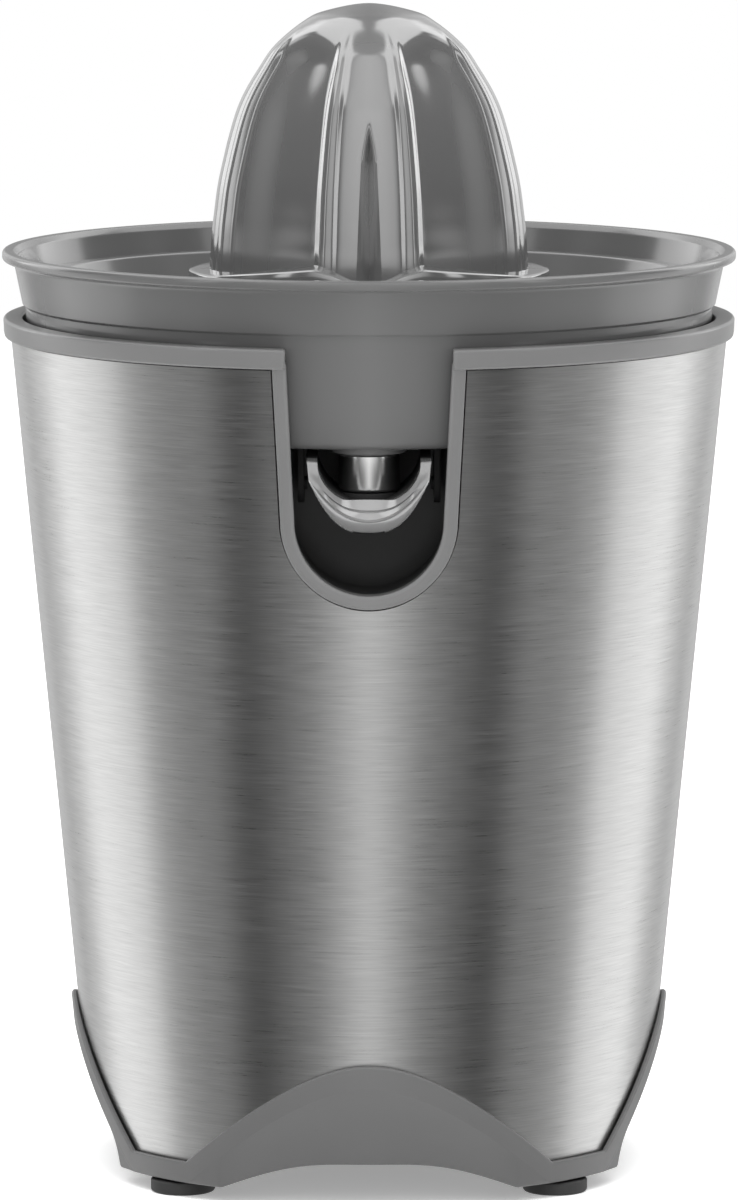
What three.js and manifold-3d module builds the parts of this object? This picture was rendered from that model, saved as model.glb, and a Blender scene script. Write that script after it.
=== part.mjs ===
// Citrus press juicer: a steel-clad housing with a grey collar, a lift-out bowl, strainer and
// juicing cone, a tilting drip spout, and a motor with a two-stage gear train inside.
// Millimetres, +Z up. The origin is the centre of the footprint, on the surface that the feet
// stand on. The spout faces -Y. Azimuth is measured from the front, towards +X.

import * as THREE from 'three';
import { mergeVertices } from 'three/addons/utils/BufferGeometryUtils.js';
import Module from 'manifold-3d';

const wasm = await Module();
wasm.setup();

// ---- Driving dimensions ----

// Clearances
const gap = 0.3;                 // between two pieces that seat on or beside each other
const steelGap = 0.35;           // round the edge of the steel
const slideGap = 0.7;            // round a piece that lifts out or turns in another

// Housing
const collarTop = 198.3;         // height of the collar's top face
const collarHeight = 4.6;
const collarRadius = 84.8;
const collarInnerRadius = 80.3;
const collarEdge = 0.5;
const shellTopRadius = 83;       // outside of the steel just under the collar
const shellTaper = 0.096;        // radius lost for each millimetre down
const shellWall = 0.8;
const tongueDepth = 7.7;         // of the collar's tongue inside the steel
const tongueWall = 1.3;

// Recess for the spout, as seen from the front
const archBottom = 142.5;        // height of the lowest point of the opening
const archRoom = 2.8;            // on each side of the spout, where the round bottom starts
const archFlare = 2;             // how much wider a half is at the collar's top face
const frameWidth = 3.2;          // of the grey frame round the opening
const frameProud = 0.9;          // of the frame, out from the steel
const frameDepth = 3.2;          // of the frame, in from the steel's outside
const linerWall = 1.5;
const linerBack = 48;            // distance from the middle to the back of the recess
const linerStep = 1.1;           // of the liner's walls, out from the frame's inner edge
const linerTop = 172.4;

// Base skirt
const frontArchHeight = 33.8;    // of the steel's lower edge, at the middle of the front
const sideArchHeight = 39.5;
const frontArchSlope = 0.98;     // millimetres down for each degree round
const sideArchSlope = 1.24;
const frontArchRound = 17;       // degrees over which the top of an arch is rounded
const sideArchRound = 12;
const legEdgeHeight = 8.6;       // of the steel's lower edge, at the legs
const legGap = 0.4;              // between a foot and the leg over it
const scoopRise = 6;             // of the skirt's lower edge, from the legs to mid-arch
const scoopTuck = 5.6;           // of the same edge, inwards
const skirtProud = 1.5;
const skirtBand = 5.4;           // width of the band under the steel
const steelLap = 2;              // of the steel, down behind the band
const skirtWall = 3.4;
const flangeBottom = 12.6;
const flangeThickness = 2.2;
const flangeInnerRadius = 44;

// Bottom cover and feet
const coverThickness = 2.5;
const footRadius = 7.4;
const footHeight = 3;
const footX = 42.8;
const footY = 41.5;
const footStemRadius = 2;
const footStemLength = 4.5;
const pillarX = 47;
const pillarY = 14;
const pillarRadius = 4;
const pilotRadius = 1.4;

// Cord inlet, in the skirt at the back
const glandHeight = 20;
const glandRadius = 4.6;
const glandBore = 3;
const glandLength = 9;           // inside the skirt
const glandFlangeRadius = 6.4;
const glandFlangeThickness = 2.5;
const glandBossDepth = 6.5;
const glandBossWall = 1;         // of the skirt's boss, past the flange

// Gear train
const motorToOutput = 36;        // between the motor's axis and the drive shaft's
const fineModule = 0.9;
const coarseModule = 1.25;
const motorTeeth = 12;
const idlerLargeTeeth = 42;
const idlerSmallTeeth = 12;
const outputTeeth = 36;
const centreAllowance = 0.15;    // added to each pair's pitch centre distance
const fineFace = 6;
const coarseFace = 8;
const idlerPinRadius = 2;
const plateThickness = 3.5;
const plateRadius = 61;
const gearCoverWall = 2;
const gearCoverThickness = 2;

// Motor
const motorBottom = 30;
const statorRadius = 27;
const statorLength = 28;
const statorBore = 13.3;
const windingHeight = 9;
const windingWall = 7;
const motorBracketThickness = 2;
const boltRadius = 1.3;
const boltFromEdge = 2.2;        // of the bolts' circle, in from the outside of the stator
const motorShaftRadius = 3;
const bearingRadius = 8;
const bearingHeight = 5;
const fanRadius = 20;
const fanHeight = 5;
const fanBlades = 8;

// Drive shaft, thrust spring and switch
const shaftRadius = 5.5;
const hexAcrossFlats = 8.6;
const shaftTop = 240;            // below the tip of the cone by the thickness of its nose
const pressTravel = 2.5;
const hubRadius = 8;
const bushWall = 2.4;
const bushFloor = 2.5;           // thickness under the lower bush
const wellDepth = 13;
const wellWall = 1.8;
const cupRadius = 7;
const cupThickness = 2;
const stemRadius = 2.3;
const springRadius = 5.6;        // to the middle of the wire
const springWire = 0.55;
const springTurns = 4;
const switchLength = 20;
const switchWidth = 6.4;
const switchHeight = 10;
const buttonRadius = 1.3;
const buttonHeight = 2.5;

// Deck
const deckTop = 168;
const deckThickness = 2.4;
const deckChimneyHeight = 21;
const chimneyWall = 1.8;
const sealHeight = 3;

// Bowl
const rimRadius = 85;
const bowlTop = 213.8;
const rimThickness = 2.3;
const bowlMouthRadius = 80;
const ledgeHeight = 205.9;       // where the strainer's rim seats
const bowlWall = 2.2;
const bowlBottomRadius = 77.4;
const bowlSkirtRadius = 79.6;    // of the wall where it passes the collar
const bowlFloor = 178.6;         // underside of the floor at the middle
const bowlTilt = 0.046;          // fall of the floor towards the front
const bowlChimneyTop = 205;
const nozzleFromMiddle = 66;
const nozzleRadius = 6.9;
const nozzleBore = 4.3;
const nozzleBottom = 165.2;
const nozzleBoss = 2;            // wall of the boss round the nozzle
const nozzleBossBottom = 173.8;

// Spout
const spoutHalfWidth = 13.9;
const spoutTop = 173.4;
const spoutBottom = 156.8;
const spoutWall = 2.4;
const spoutFront = 83.8;         // distance from the middle to the spout's lip
const spoutLipSlope = 0.22;      // the lip leans back by this much for each millimetre up
const spoutPinFromMiddle = 56;
const spoutPinHeight = 165.6;
const spoutPinRadius = 1.5;
const earThickness = 1.5;
const earHalfWidth = 4.5;
const spoutSealHeight = 1.6;

// Strainer
const strainerRimThickness = 1.2;
const strainerWall = 1.2;
const strainerFloor = 196.6;     // underside
const strainerHubTop = 203.4;
const strainerHubRadius = 37;
const slotCount = 16;
const slotWidth = 1.8;
const slotInner = 46;
const slotOuter = 70;

// Juicing cone
const coneTop = 270.6;
const coneRadius = 37;
const coneFlangeUnderside = 207.2;
const coneFlangeThickness = 2.2;
const coneFlangeRadius = 42;
const coneFlangeWaist = 39.5;
const rampRise = 3.6;
const flankDepth = 5;            // of the hollow flanks between the ribbed quarters
const ribDepth = 0.9;
const coneWall = 3;
const socketWall = 3;

// ---- Small helpers ----

const degrees = Math.PI / 180;
const fineSides = 72;
const roundSides = 48;
const smallSides = 16;

function clamp(value, low, high) {
  return Math.min(high, Math.max(low, value));
}

function mix(a, b, share) {
  return a + (b - a) * share;
}

// Outside radius of the steel at a height.
function shellRadius(z) {
  return shellTopRadius - shellTaper * (collarTop - collarHeight - z);
}

// A closed three.js geometry as a solid, with its faces turned outwards.
function solid(geometry) {
  const bare = new THREE.BufferGeometry();
  bare.setAttribute('position', geometry.getAttribute('position').clone());
  bare.setIndex(geometry.index ? geometry.index.clone() : null);
  const merged = mergeVertices(bare, 1e-4);
  const points = merged.getAttribute('position').array;
  const faces = [];
  for (let i = 0; i < merged.index.count; i += 3) {
    const [a, b, c] = [0, 1, 2].map((k) => merged.index.getX(i + k));
    if (a !== b && b !== c && c !== a) {
      faces.push(a, b, c);
    }
  }
  const ordered = signedVolume(points, faces) < 0 ? faces.reverse() : faces;
  const mesh = new wasm.Mesh({
    numProp: 3,
    vertProperties: Float32Array.from(points),
    triVerts: Uint32Array.from(ordered),
  });
  return new wasm.Manifold(mesh);
}

function signedVolume(points, faces) {
  let sum = 0;
  for (let i = 0; i < faces.length; i += 3) {
    const corners = [0, 1, 2].map((k) => new THREE.Vector3().fromArray(points, 3 * faces[i + k]));
    sum += corners[0].dot(corners[1].cross(corners[2]));
  }
  return sum;
}

// A solid back as a three.js geometry with flat faces.
function geometryOf(body) {
  const mesh = body.getMesh();
  const geometry = new THREE.BufferGeometry();
  geometry.setAttribute('position', new THREE.BufferAttribute(Float32Array.from(mesh.vertProperties), 3));
  geometry.setIndex(new THREE.BufferAttribute(Uint32Array.from(mesh.triVerts), 1));
  geometry.computeVertexNormals();
  return geometry;
}

function joined(...solids) {
  return solids.reduce((all, one) => all.add(one));
}

function cut(body, ...tools) {
  return tools.reduce((rest, tool) => rest.subtract(tool), body);
}

// A closed profile swept round the Z axis. profileAt(azimuth) gives its [radius, height] points.
function swept(profileAt, sides) {
  const outline = profileAt(0).map(([r, z]) => new THREE.Vector2(r, z));
  outline.push(outline[0]);
  const geometry = new THREE.LatheGeometry(outline, sides);
  const position = geometry.getAttribute('position');
  for (let step = 0; step <= sides; step += 1) {
    const azimuth = (step % sides) * 2 * Math.PI / sides;
    const profile = profileAt(azimuth);
    profile.push(profile[0]);
    profile.forEach(([r, z], k) => {
      position.setXYZ(step * outline.length + k, r * Math.sin(azimuth), -r * Math.cos(azimuth), z);
    });
  }
  return solid(geometry);
}

// The same for a profile that is alike all round.
function turned(profile, sides = roundSides) {
  return swept(() => [...profile], sides);
}

function tube(outerRadius, innerRadius, bottom, top, sides = smallSides) {
  return turned([[outerRadius, bottom], [outerRadius, top], [innerRadius, top], [innerRadius, bottom]], sides);
}

function rod(radius, bottom, top, sides = smallSides) {
  const geometry = new THREE.CylinderGeometry(radius, radius, top - bottom, sides);
  geometry.rotateX(Math.PI / 2);
  geometry.translate(0, 0, (top + bottom) / 2);
  return solid(geometry);
}

function box(xLow, xHigh, yLow, yHigh, zLow, zHigh) {
  const geometry = new THREE.BoxGeometry(xHigh - xLow, yHigh - yLow, zHigh - zLow);
  geometry.translate((xLow + xHigh) / 2, (yLow + yHigh) / 2, (zLow + zHigh) / 2);
  return solid(geometry);
}

// A flat outline in XY pushed up from one height to another.
function prism(outline, bottom, top, holes = []) {
  const shape = new THREE.Shape(outline.map(([x, y]) => new THREE.Vector2(x, y)));
  shape.holes = holes.map((hole) => new THREE.Path(hole.map(([x, y]) => new THREE.Vector2(x, y))));
  const geometry = new THREE.ExtrudeGeometry(shape, { depth: top - bottom, bevelEnabled: false });
  geometry.translate(0, 0, bottom);
  return solid(geometry);
}

// An outline drawn in XZ, as seen from the front, pushed from one distance in front of the
// middle to another.
function facingPrism(outline, near, far) {
  const shape = new THREE.Shape(outline.map(([x, z]) => new THREE.Vector2(x, z)));
  const geometry = new THREE.ExtrudeGeometry(shape, { depth: near - far, bevelEnabled: false });
  geometry.rotateX(Math.PI / 2);
  geometry.translate(0, -far, 0);
  return solid(geometry);
}

function hexagon(acrossFlats) {
  const corner = acrossFlats / 2 / Math.cos(30 * degrees);
  return [0, 1, 2, 3, 4, 5].map((k) => [corner * Math.cos(k * 60 * degrees), corner * Math.sin(k * 60 * degrees)]);
}

function arc(centreX, centreY, radius, from, to, steps) {
  const points = [];
  for (let k = 0; k <= steps; k += 1) {
    const angle = mix(from, to, k / steps) * degrees;
    points.push([centreX + radius * Math.cos(angle), centreY + radius * Math.sin(angle)]);
  }
  return points;
}

// Four places, one in each quarter.
function quarters(x, y) {
  return [[-x, -y], [x, -y], [-x, y], [x, y]];
}

// ---- Heights and places worked out from the driving dimensions ----

const collarBottom = collarTop - collarHeight;
const steelTop = collarBottom - gap;
const archHalfWidth = spoutHalfWidth + archRoom;
const archTopHalfWidth = archHalfWidth + archFlare;
const archCentre = archBottom + archHalfWidth;
const outerEdge = frameWidth + steelGap;
const legBottom = footHeight + legGap;
const skirtLegRadius = shellRadius(legBottom) + skirtProud - 0.6;
const flangeTop = flangeBottom + flangeThickness;
const coverTop = flangeBottom - gap;
const coverBottom = coverTop - coverThickness;
const coverRadius = skirtLegRadius - scoopTuck - skirtWall - gap;

const statorBottom = motorBottom + motorBracketThickness + gap + windingHeight + gap;
const statorTop = statorBottom + statorLength;
const motorTop = statorTop + gap + windingHeight + gap + motorBracketThickness;
const fanBottom = motorTop + 2.5;
const plateBottom = fanBottom + fanHeight + 2;
const plateTop = plateBottom + plateThickness;
const wellBottom = plateBottom - wellDepth;
const fineBottom = plateTop + 2.5;
const fineTop = fineBottom + fineFace;
const coarseBottom = fineTop + 1.6;
const coarseTop = coarseBottom + coarseFace;
const gearCoverCeiling = coarseTop + 2.5;
const gearCoverTop = gearCoverCeiling + gearCoverThickness;

const pinionRadius = motorTeeth * fineModule / 2;
const idlerLargeRadius = idlerLargeTeeth * fineModule / 2;
const idlerSmallRadius = idlerSmallTeeth * coarseModule / 2;
const outputRadius = outputTeeth * coarseModule / 2;
const fineCentres = pinionRadius + idlerLargeRadius + centreAllowance;
const coarseCentres = idlerSmallRadius + outputRadius + centreAllowance;
const idlerY = (coarseCentres ** 2 - fineCentres ** 2 + motorToOutput ** 2) / (2 * motorToOutput);
const idlerX = -Math.sqrt(coarseCentres ** 2 - idlerY ** 2);

const boltCircle = statorRadius - boltFromEdge;
const hubBottom = plateBottom + 0.5;
const hubTop = gearCoverTop + 1.5;
const shaftBottom = hubBottom - 1.2;
const cupTop = shaftBottom - gap;
const stemBottom = wellBottom - 2.6;
const buttonTop = stemBottom - gap;
const switchTop = buttonTop - buttonHeight - gap;

const deckChimneyRadius = shaftRadius + slideGap + chimneyWall;
const deckChimneyTop = deckTop + deckChimneyHeight;
const sealTop = deckChimneyTop + gap + sealHeight;
const bowlChimneyBore = deckChimneyRadius + slideGap;
const bowlChimneyRadius = bowlChimneyBore + bowlWall;

// Height of the underside of the bowl's floor.
function bowlFloorAt(radius, azimuth) {
  return bowlFloor - bowlTilt * radius * Math.cos(azimuth);
}

// ---- Housing ----

function fallOfArch(height, slope, round, offAxis) {
  return height - slope * (Math.hypot(offAxis, round) - round);
}

// Height of the steel's lower edge: arches at the front, back and sides, and level at the legs.
function steelEdge(azimuth) {
  const turn = ((azimuth / degrees) % 180 + 180) % 180;
  const fromFront = Math.min(turn, 180 - turn);
  const front = fallOfArch(frontArchHeight, frontArchSlope, frontArchRound, fromFront);
  const side = fallOfArch(sideArchHeight, sideArchSlope, sideArchRound, 90 - fromFront);
  return Math.max(legEdgeHeight, front, side);
}

// How far round from a leg, 0, to the middle of an arch, 1.
function archShare(azimuth) {
  const rise = (steelEdge(azimuth) - legEdgeHeight) / (frontArchHeight - legEdgeHeight);
  return Math.sin(clamp((rise - 0.28) / 0.72, 0, 1) * Math.PI / 2);
}

// The opening for the spout, widened by a margin: round below and slightly splayed above.
function openingOutline(margin, top) {
  const splay = (archTopHalfWidth - archHalfWidth) / (collarTop - archCentre);
  const halfTop = archHalfWidth + margin + splay * (top - archCentre);
  return [...arc(0, archCentre, archHalfWidth + margin, 180, 360, 20), [halfTop, top], [-halfTop, top]];
}

function steelShell() {
  const body = swept((azimuth) => {
    const edge = steelEdge(azimuth) - steelLap;
    return [
      [shellRadius(edge), edge],
      [shellRadius(steelTop), steelTop],
      [shellRadius(steelTop) - shellWall, steelTop],
      [shellRadius(edge) - shellWall, edge],
    ];
  }, fineSides);
  return cut(body, facingPrism(openingOutline(outerEdge, collarTop), collarRadius, linerBack), glandHole());
}

function collarFrame() {
  const tongueBottom = collarBottom - tongueDepth;
  const tongueOuter = shellRadius(tongueBottom) - shellWall - steelGap;
  const tongueInner = tongueOuter - tongueWall;
  const ring = turned([
    [collarInnerRadius, collarTop - collarEdge],
    [collarInnerRadius + collarEdge, collarTop],
    [collarRadius - collarEdge, collarTop],
    [collarRadius, collarTop - collarEdge],
    [collarRadius - 0.3, collarBottom + collarEdge],
    [collarRadius - 0.3 - collarEdge, collarBottom],
    [tongueOuter, collarBottom],
    [tongueOuter, tongueBottom],
    [tongueInner, tongueBottom],
  ], fineSides);
  const bandBottom = archBottom - 2 * frameWidth;
  const band = turned([
    [shellRadius(bandBottom) + frameProud, bandBottom],
    [shellRadius(collarBottom) + frameProud, collarBottom + 1],
    [shellRadius(collarBottom) - frameDepth, collarBottom + 1],
    [shellRadius(bandBottom) - frameDepth, bandBottom],
  ], fineSides);
  const frame = band.intersect(facingPrism(openingOutline(frameWidth, collarTop), rimRadius, linerBack));
  return cut(joined(ring, frame), facingPrism(openingOutline(0, rimRadius * 3), rimRadius * 1.1, linerBack));
}

// The dark pocket behind the frame, open at the front and the top.
function spoutRecess() {
  const top = linerTop;
  const outside = facingPrism(openingOutline(linerStep + linerWall, top), rimRadius, linerBack - linerWall);
  const inside = facingPrism(openingOutline(linerStep, top + 1), rimRadius * 1.1, linerBack);
  const low = archBottom - 4 * linerWall;
  const limit = turned([
    [0, low],
    [shellRadius(low) - frameDepth - gap, low],
    [shellRadius(top) - frameDepth - gap, top + 1],
    [0, top + 1],
  ], fineSides);
  return cut(outside.intersect(limit), inside);
}

function deck() {
  const outer = shellRadius(deckTop - deckThickness) - frameDepth - gap;
  const inner = shaftRadius + slideGap;
  const plate = turned([
    [outer, deckTop - deckThickness],
    [outer, deckTop],
    [deckChimneyRadius, deckTop],
    [deckChimneyRadius, deckChimneyTop],
    [inner, deckChimneyTop],
    [inner, deckTop - deckThickness],
  ]);
  const notch = openingOutline(linerStep + linerWall + gap, deckChimneyTop);
  return cut(plate, facingPrism(notch, rimRadius, linerBack - linerWall - gap));
}

function shaftSeal() {
  const inner = shaftRadius + gap;
  return turned([
    [deckChimneyRadius, deckChimneyTop + gap],
    [deckChimneyRadius - 0.8, sealTop],
    [inner, sealTop],
    [inner, deckChimneyTop + gap],
  ], smallSides);
}

function baseSkirt() {
  const ring = swept((azimuth) => {
    const edge = steelEdge(azimuth);
    const slotBottom = edge - steelLap - gap;
    const bandBottom = Math.max(edge - skirtBand, legBottom + gap);
    const share = archShare(azimuth);
    const lowRadius = skirtLegRadius - scoopTuck * share;
    const low = legBottom + scoopRise * share;
    return [
      [shellRadius(bandBottom) + skirtProud, bandBottom],
      [shellRadius(edge) + skirtProud, edge],
      [shellRadius(edge) + steelGap, edge],
      [shellRadius(slotBottom) + steelGap, slotBottom],
      [shellRadius(slotBottom) - shellWall - steelGap, slotBottom],
      [mix(shellRadius(flangeTop) - shellWall - 2 * steelGap, skirtLegRadius - scoopTuck, share), flangeTop],
      [flangeInnerRadius, flangeTop],
      [flangeInnerRadius, flangeBottom],
      [lowRadius - skirtWall, flangeBottom],
      [lowRadius - skirtWall, low],
      [lowRadius, low],
    ];
  }, fineSides);
  const pillars = quarters(pillarX, pillarY).map(([x, y]) => {
    return rod(pillarRadius, flangeBottom, plateBottom - gap, 10).translate(x, y, 0);
  });
  const pilots = quarters(pillarX, pillarY).map(([x, y]) => {
    return rod(pilotRadius, flangeBottom - 1, plateBottom, 8).translate(x, y, 0);
  });
  const seat = shellRadius(glandHeight) + skirtProud - gap;
  const boss = rod(glandFlangeRadius + glandBossWall, seat - glandBossDepth, seat, smallSides);
  const glandBoss = boss.rotate([-90, 0, 0]).translate(0, 0, glandHeight);
  return cut(joined(ring, ...pillars, glandBoss), ...pilots, glandHole());
}

function bottomCover() {
  const disc = rod(coverRadius, coverBottom, coverTop, roundSides);
  const limit = rod(skirtLegRadius - skirtWall - gap, legBottom, coverTop, roundSides);
  const pads = quarters(footX, footY).map(([x, y]) => {
    return rod(footRadius + 1.2, legBottom, coverTop, smallSides).translate(x, y, 0).intersect(limit);
  });
  const stemHoles = quarters(footX, footY).map(([x, y]) => {
    return rod(footStemRadius + gap, 0, footHeight + footStemLength + gap, 8).translate(x, y, 0);
  });
  const screwHoles = quarters(pillarX, pillarY).map(([x, y]) => {
    return rod(pilotRadius + gap, 0, coverTop + 1, 6).translate(x, y, 0);
  });
  const vents = [-2, -1, 0, 1, 2].map((k) => {
    return box(-12, 12, motorToOutput / 2 + k * 5 - 1, motorToOutput / 2 + k * 5 + 1, 0, coverTop + 1);
  });
  return cut(joined(disc, ...pads), ...stemHoles, ...screwHoles, ...vents);
}

function foot() {
  return turned([
    [0, 0],
    [footRadius - 0.5, 0],
    [footRadius, 0.5],
    [footRadius, footHeight],
    [footStemRadius, footHeight],
    [footStemRadius, footHeight + footStemLength],
    [0, footHeight + footStemLength],
  ], smallSides);
}

// ---- Cord inlet at the back ----

function glandHole() {
  const hole = rod(glandRadius + gap, motorToOutput, rimRadius, 16);
  return hole.rotate([-90, 0, 0]).translate(0, 0, glandHeight);
}

// A rubber bush with a flange on each side of the skirt's wall.
function cordGland() {
  const outside = shellRadius(glandHeight) + skirtProud;
  const inside = outside - glandLength;
  const bush = turned([
    [glandBore, inside],
    [glandRadius, inside],
    [glandRadius, outside],
    [glandFlangeRadius, outside],
    [glandFlangeRadius - 1, outside + glandFlangeThickness],
    [glandBore, outside + glandFlangeThickness],
  ], 16);
  return bush.rotate([-90, 0, 0]).translate(0, 0, glandHeight);
}

// ---- Screws ----

// A pan head screw that points down from a seat.
function screw(threadRadius, length) {
  const headRadius = threadRadius * 2.1;
  return turned([
    [0, -length],
    [threadRadius, -length],
    [threadRadius, 0],
    [headRadius, 0],
    [headRadius * 0.8, threadRadius * 1.2],
    [0, threadRadius * 1.2],
  ], 8);
}

// ---- Bowl, strainer, cone and spout ----

function juiceBowl() {
  const lipUnderside = bowlTop - rimThickness;
  const body = swept((azimuth) => {
    const corner = bowlFloorAt(bowlBottomRadius, azimuth);
    const middle = bowlFloorAt(bowlChimneyRadius, azimuth);
    return [
      [bowlChimneyBore, middle],
      [bowlBottomRadius - 1.5, corner],
      [bowlBottomRadius, corner + 1.5],
      [bowlSkirtRadius, collarTop - gap],
      [bowlSkirtRadius + 0.4, collarTop + 2.7],
      [bowlSkirtRadius + 1.2, collarTop + 3.4],
      [rimRadius - 2.5, lipUnderside],
      [rimRadius - 0.6, lipUnderside],
      [rimRadius, lipUnderside + 0.6],
      [rimRadius, bowlTop - 0.6],
      [rimRadius - 0.6, bowlTop],
      [rimRadius - 2.4, bowlTop],
      [bowlMouthRadius + 1.4, bowlTop - 1.2],
      [bowlMouthRadius, ledgeHeight + 1.6],
      [bowlMouthRadius, ledgeHeight],
      [bowlBottomRadius, ledgeHeight],
      [bowlBottomRadius - bowlWall, corner + bowlWall],
      [bowlChimneyRadius, middle + bowlWall],
      [bowlChimneyRadius, bowlChimneyTop],
      [bowlChimneyBore, bowlChimneyTop],
    ];
  }, roundSides);
  const boss = rod(nozzleRadius + nozzleBoss, nozzleBossBottom, bowlFloor - 1, smallSides);
  const ears = [-1, 1].map((side) => {
    const near = spoutPinFromMiddle + earHalfWidth;
    const far = spoutPinFromMiddle - earHalfWidth;
    const inner = spoutHalfWidth + slideGap;
    const edges = [side * inner, side * (inner + earThickness)].sort((a, b) => a - b);
    return box(edges[0], edges[1], -near, -far, spoutPinHeight - earHalfWidth, bowlFloor - 1);
  });
  const pinHole = rod(spoutPinRadius + gap, -rimRadius, rimRadius, 16).rotate([0, 90, 0]);
  const outlet = rod(nozzleBore + 1 + gap, nozzleBottom, bowlFloor + bowlWall, 16);
  return cut(
    joined(body, boss.translate(0, -nozzleFromMiddle, 0), ...ears),
    pinHole.translate(0, -spoutPinFromMiddle, spoutPinHeight),
    outlet.translate(0, -nozzleFromMiddle, 0),
  );
}

function outletNozzle() {
  const neckTop = bowlFloorAt(nozzleFromMiddle, 0) + bowlWall - gap;
  const shoulder = nozzleBossBottom - gap;
  const body = turned([
    [nozzleBore, nozzleBottom],
    [nozzleRadius - 0.4, nozzleBottom],
    [nozzleRadius, nozzleBottom + 0.5],
    [nozzleRadius, shoulder],
    [nozzleBore + 1, shoulder],
    [nozzleBore + 1, neckTop],
    [nozzleBore, neckTop],
  ], smallSides);
  return body.translate(0, -nozzleFromMiddle, 0);
}

// The trough's section: two short upright tips joined by a pointed curve below.
function troughOutline(inset) {
  const half = spoutHalfWidth - inset;
  const low = spoutBottom + inset;
  const shoulder = spoutTop - 4;
  const points = [];
  const steps = 14;
  for (let k = 0; k <= steps; k += 1) {
    const x = mix(-half, half, k / steps);
    const share = Math.abs(x) / half;
    points.push([x, mix(low, shoulder, share ** 2.1)]);
  }
  return points;
}

function dripSpout() {
  const back = spoutPinFromMiddle - 3;
  const near = rimRadius;
  const outer = [...troughOutline(0), [spoutHalfWidth, spoutTop], [-spoutHalfWidth, spoutTop]];
  const open = spoutTop + 1;
  const innerHalf = spoutHalfWidth - spoutWall;
  const inner = [...troughOutline(spoutWall), [innerHalf, open], [-innerHalf, open]];
  const floorFill = facingPrism([...troughOutline(spoutWall / 2), [0, spoutTop]], near, back);
  const floorTop = nozzleBottom - gap - spoutSealHeight - gap;
  const floorCut = box(-rimRadius, rimRadius, -near, -back, floorTop, spoutTop + 2);
  const lean = spoutLipSlope * (spoutTop - spoutBottom);
  const lip = [
    [-spoutFront, spoutTop],
    [-spoutFront + lean, spoutBottom],
    [-spoutFront - 20, spoutBottom - 1],
    [-spoutFront - 20, spoutTop + 1],
  ];
  const lipShape = new THREE.Shape(lip.map(([y, z]) => new THREE.Vector2(y, z)));
  const lipTool = new THREE.ExtrudeGeometry(lipShape, { depth: 2 * rimRadius, bevelEnabled: false });
  lipTool.rotateX(Math.PI / 2).rotateZ(Math.PI / 2).translate(-rimRadius, 0, 0);
  const trough = cut(facingPrism(outer, near, back), facingPrism(inner, near + 1, back + spoutWall));
  const pins = rod(spoutPinRadius, -spoutHalfWidth - slideGap - earThickness, spoutHalfWidth + slideGap + earThickness, 16);
  const pinBar = pins.rotate([0, 90, 0]).translate(0, -spoutPinFromMiddle, spoutPinHeight);
  const pinEnds = cut(pinBar, box(-innerHalf, innerHalf, -near, 0, 0, spoutTop * 2));
  return cut(joined(trough, cut(floorFill, floorCut), pinEnds), solid(lipTool));
}

// The pad that closes the nozzle while the spout is tipped up.
function spoutSeal() {
  const bottom = nozzleBottom - gap - spoutSealHeight;
  const pad = turned([
    [0, bottom],
    [nozzleRadius - 0.4, bottom],
    [nozzleRadius - 0.4, nozzleBottom - gap],
    [0, nozzleBottom - gap],
  ], smallSides);
  return pad.translate(0, -nozzleFromMiddle, 0);
}

function pulpStrainer() {
  const rimBottom = ledgeHeight + gap;
  const rimTop = rimBottom + strainerRimThickness;
  const wallRadius = bowlBottomRadius - gap - 0.4;
  const hubBore = bowlChimneyRadius + slideGap;
  const body = turned([
    [wallRadius, rimBottom],
    [bowlMouthRadius - 0.5, rimBottom],
    [bowlMouthRadius - 0.5, rimTop],
    [wallRadius - strainerWall, rimTop],
    [slotOuter + 2, strainerFloor + strainerWall],
    [slotInner - 2, strainerFloor + strainerWall],
    [strainerHubRadius, strainerHubTop],
    [hubBore, strainerHubTop],
    [hubBore, strainerHubTop - strainerWall],
    [strainerHubRadius - 0.5, strainerHubTop - strainerWall],
    [slotInner - 2.5, strainerFloor],
    [slotOuter + 2.5, strainerFloor],
  ]);
  const slots = [];
  for (let k = 0; k < slotCount; k += 1) {
    const slot = box(slotInner, slotOuter, -slotWidth / 2, slotWidth / 2, strainerFloor - 1, strainerHubTop);
    slots.push(slot.rotate([0, 0, (k + 0.5) * 360 / slotCount]));
  }
  return cut(body, ...slots);
}

// Azimuth folded into one quarter and measured from its ribbed middle, in degrees.
function fromRibs(azimuth) {
  const turn = ((azimuth / degrees + 45) % 90 + 90) % 90;
  return Math.abs(turn - 45);
}

// How far the cone's surface stands in from its round outline.
function coneHollow(azimuth) {
  const off = fromRibs(azimuth);
  if (off > 20) {
    const share = Math.sin((off - 20) / 25 * Math.PI / 2);
    return flankDepth * share;
  }
  return ribDepth * (0.5 + 0.5 * Math.cos(off / 7.5 * Math.PI));
}

// Radius of the cone's flange: lobes to the sides, and narrower at the front and back.
function flangeRadiusAt(azimuth) {
  return mix(coneFlangeWaist, coneFlangeRadius, Math.abs(Math.sin(azimuth)));
}

// Rise of the two ramps at the front and the two at the back that sweep the pulp.
function flangeRise(azimuth) {
  const turn = azimuth / degrees;
  const off = Math.min(Math.abs(turn), Math.abs(turn - 360), Math.abs(turn - 180));
  if (off <= 5 || off >= 60) {
    return 0;
  }
  return off < 22 ? rampRise * (off - 5) / 17 : rampRise * (60 - off) / 38;
}

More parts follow.
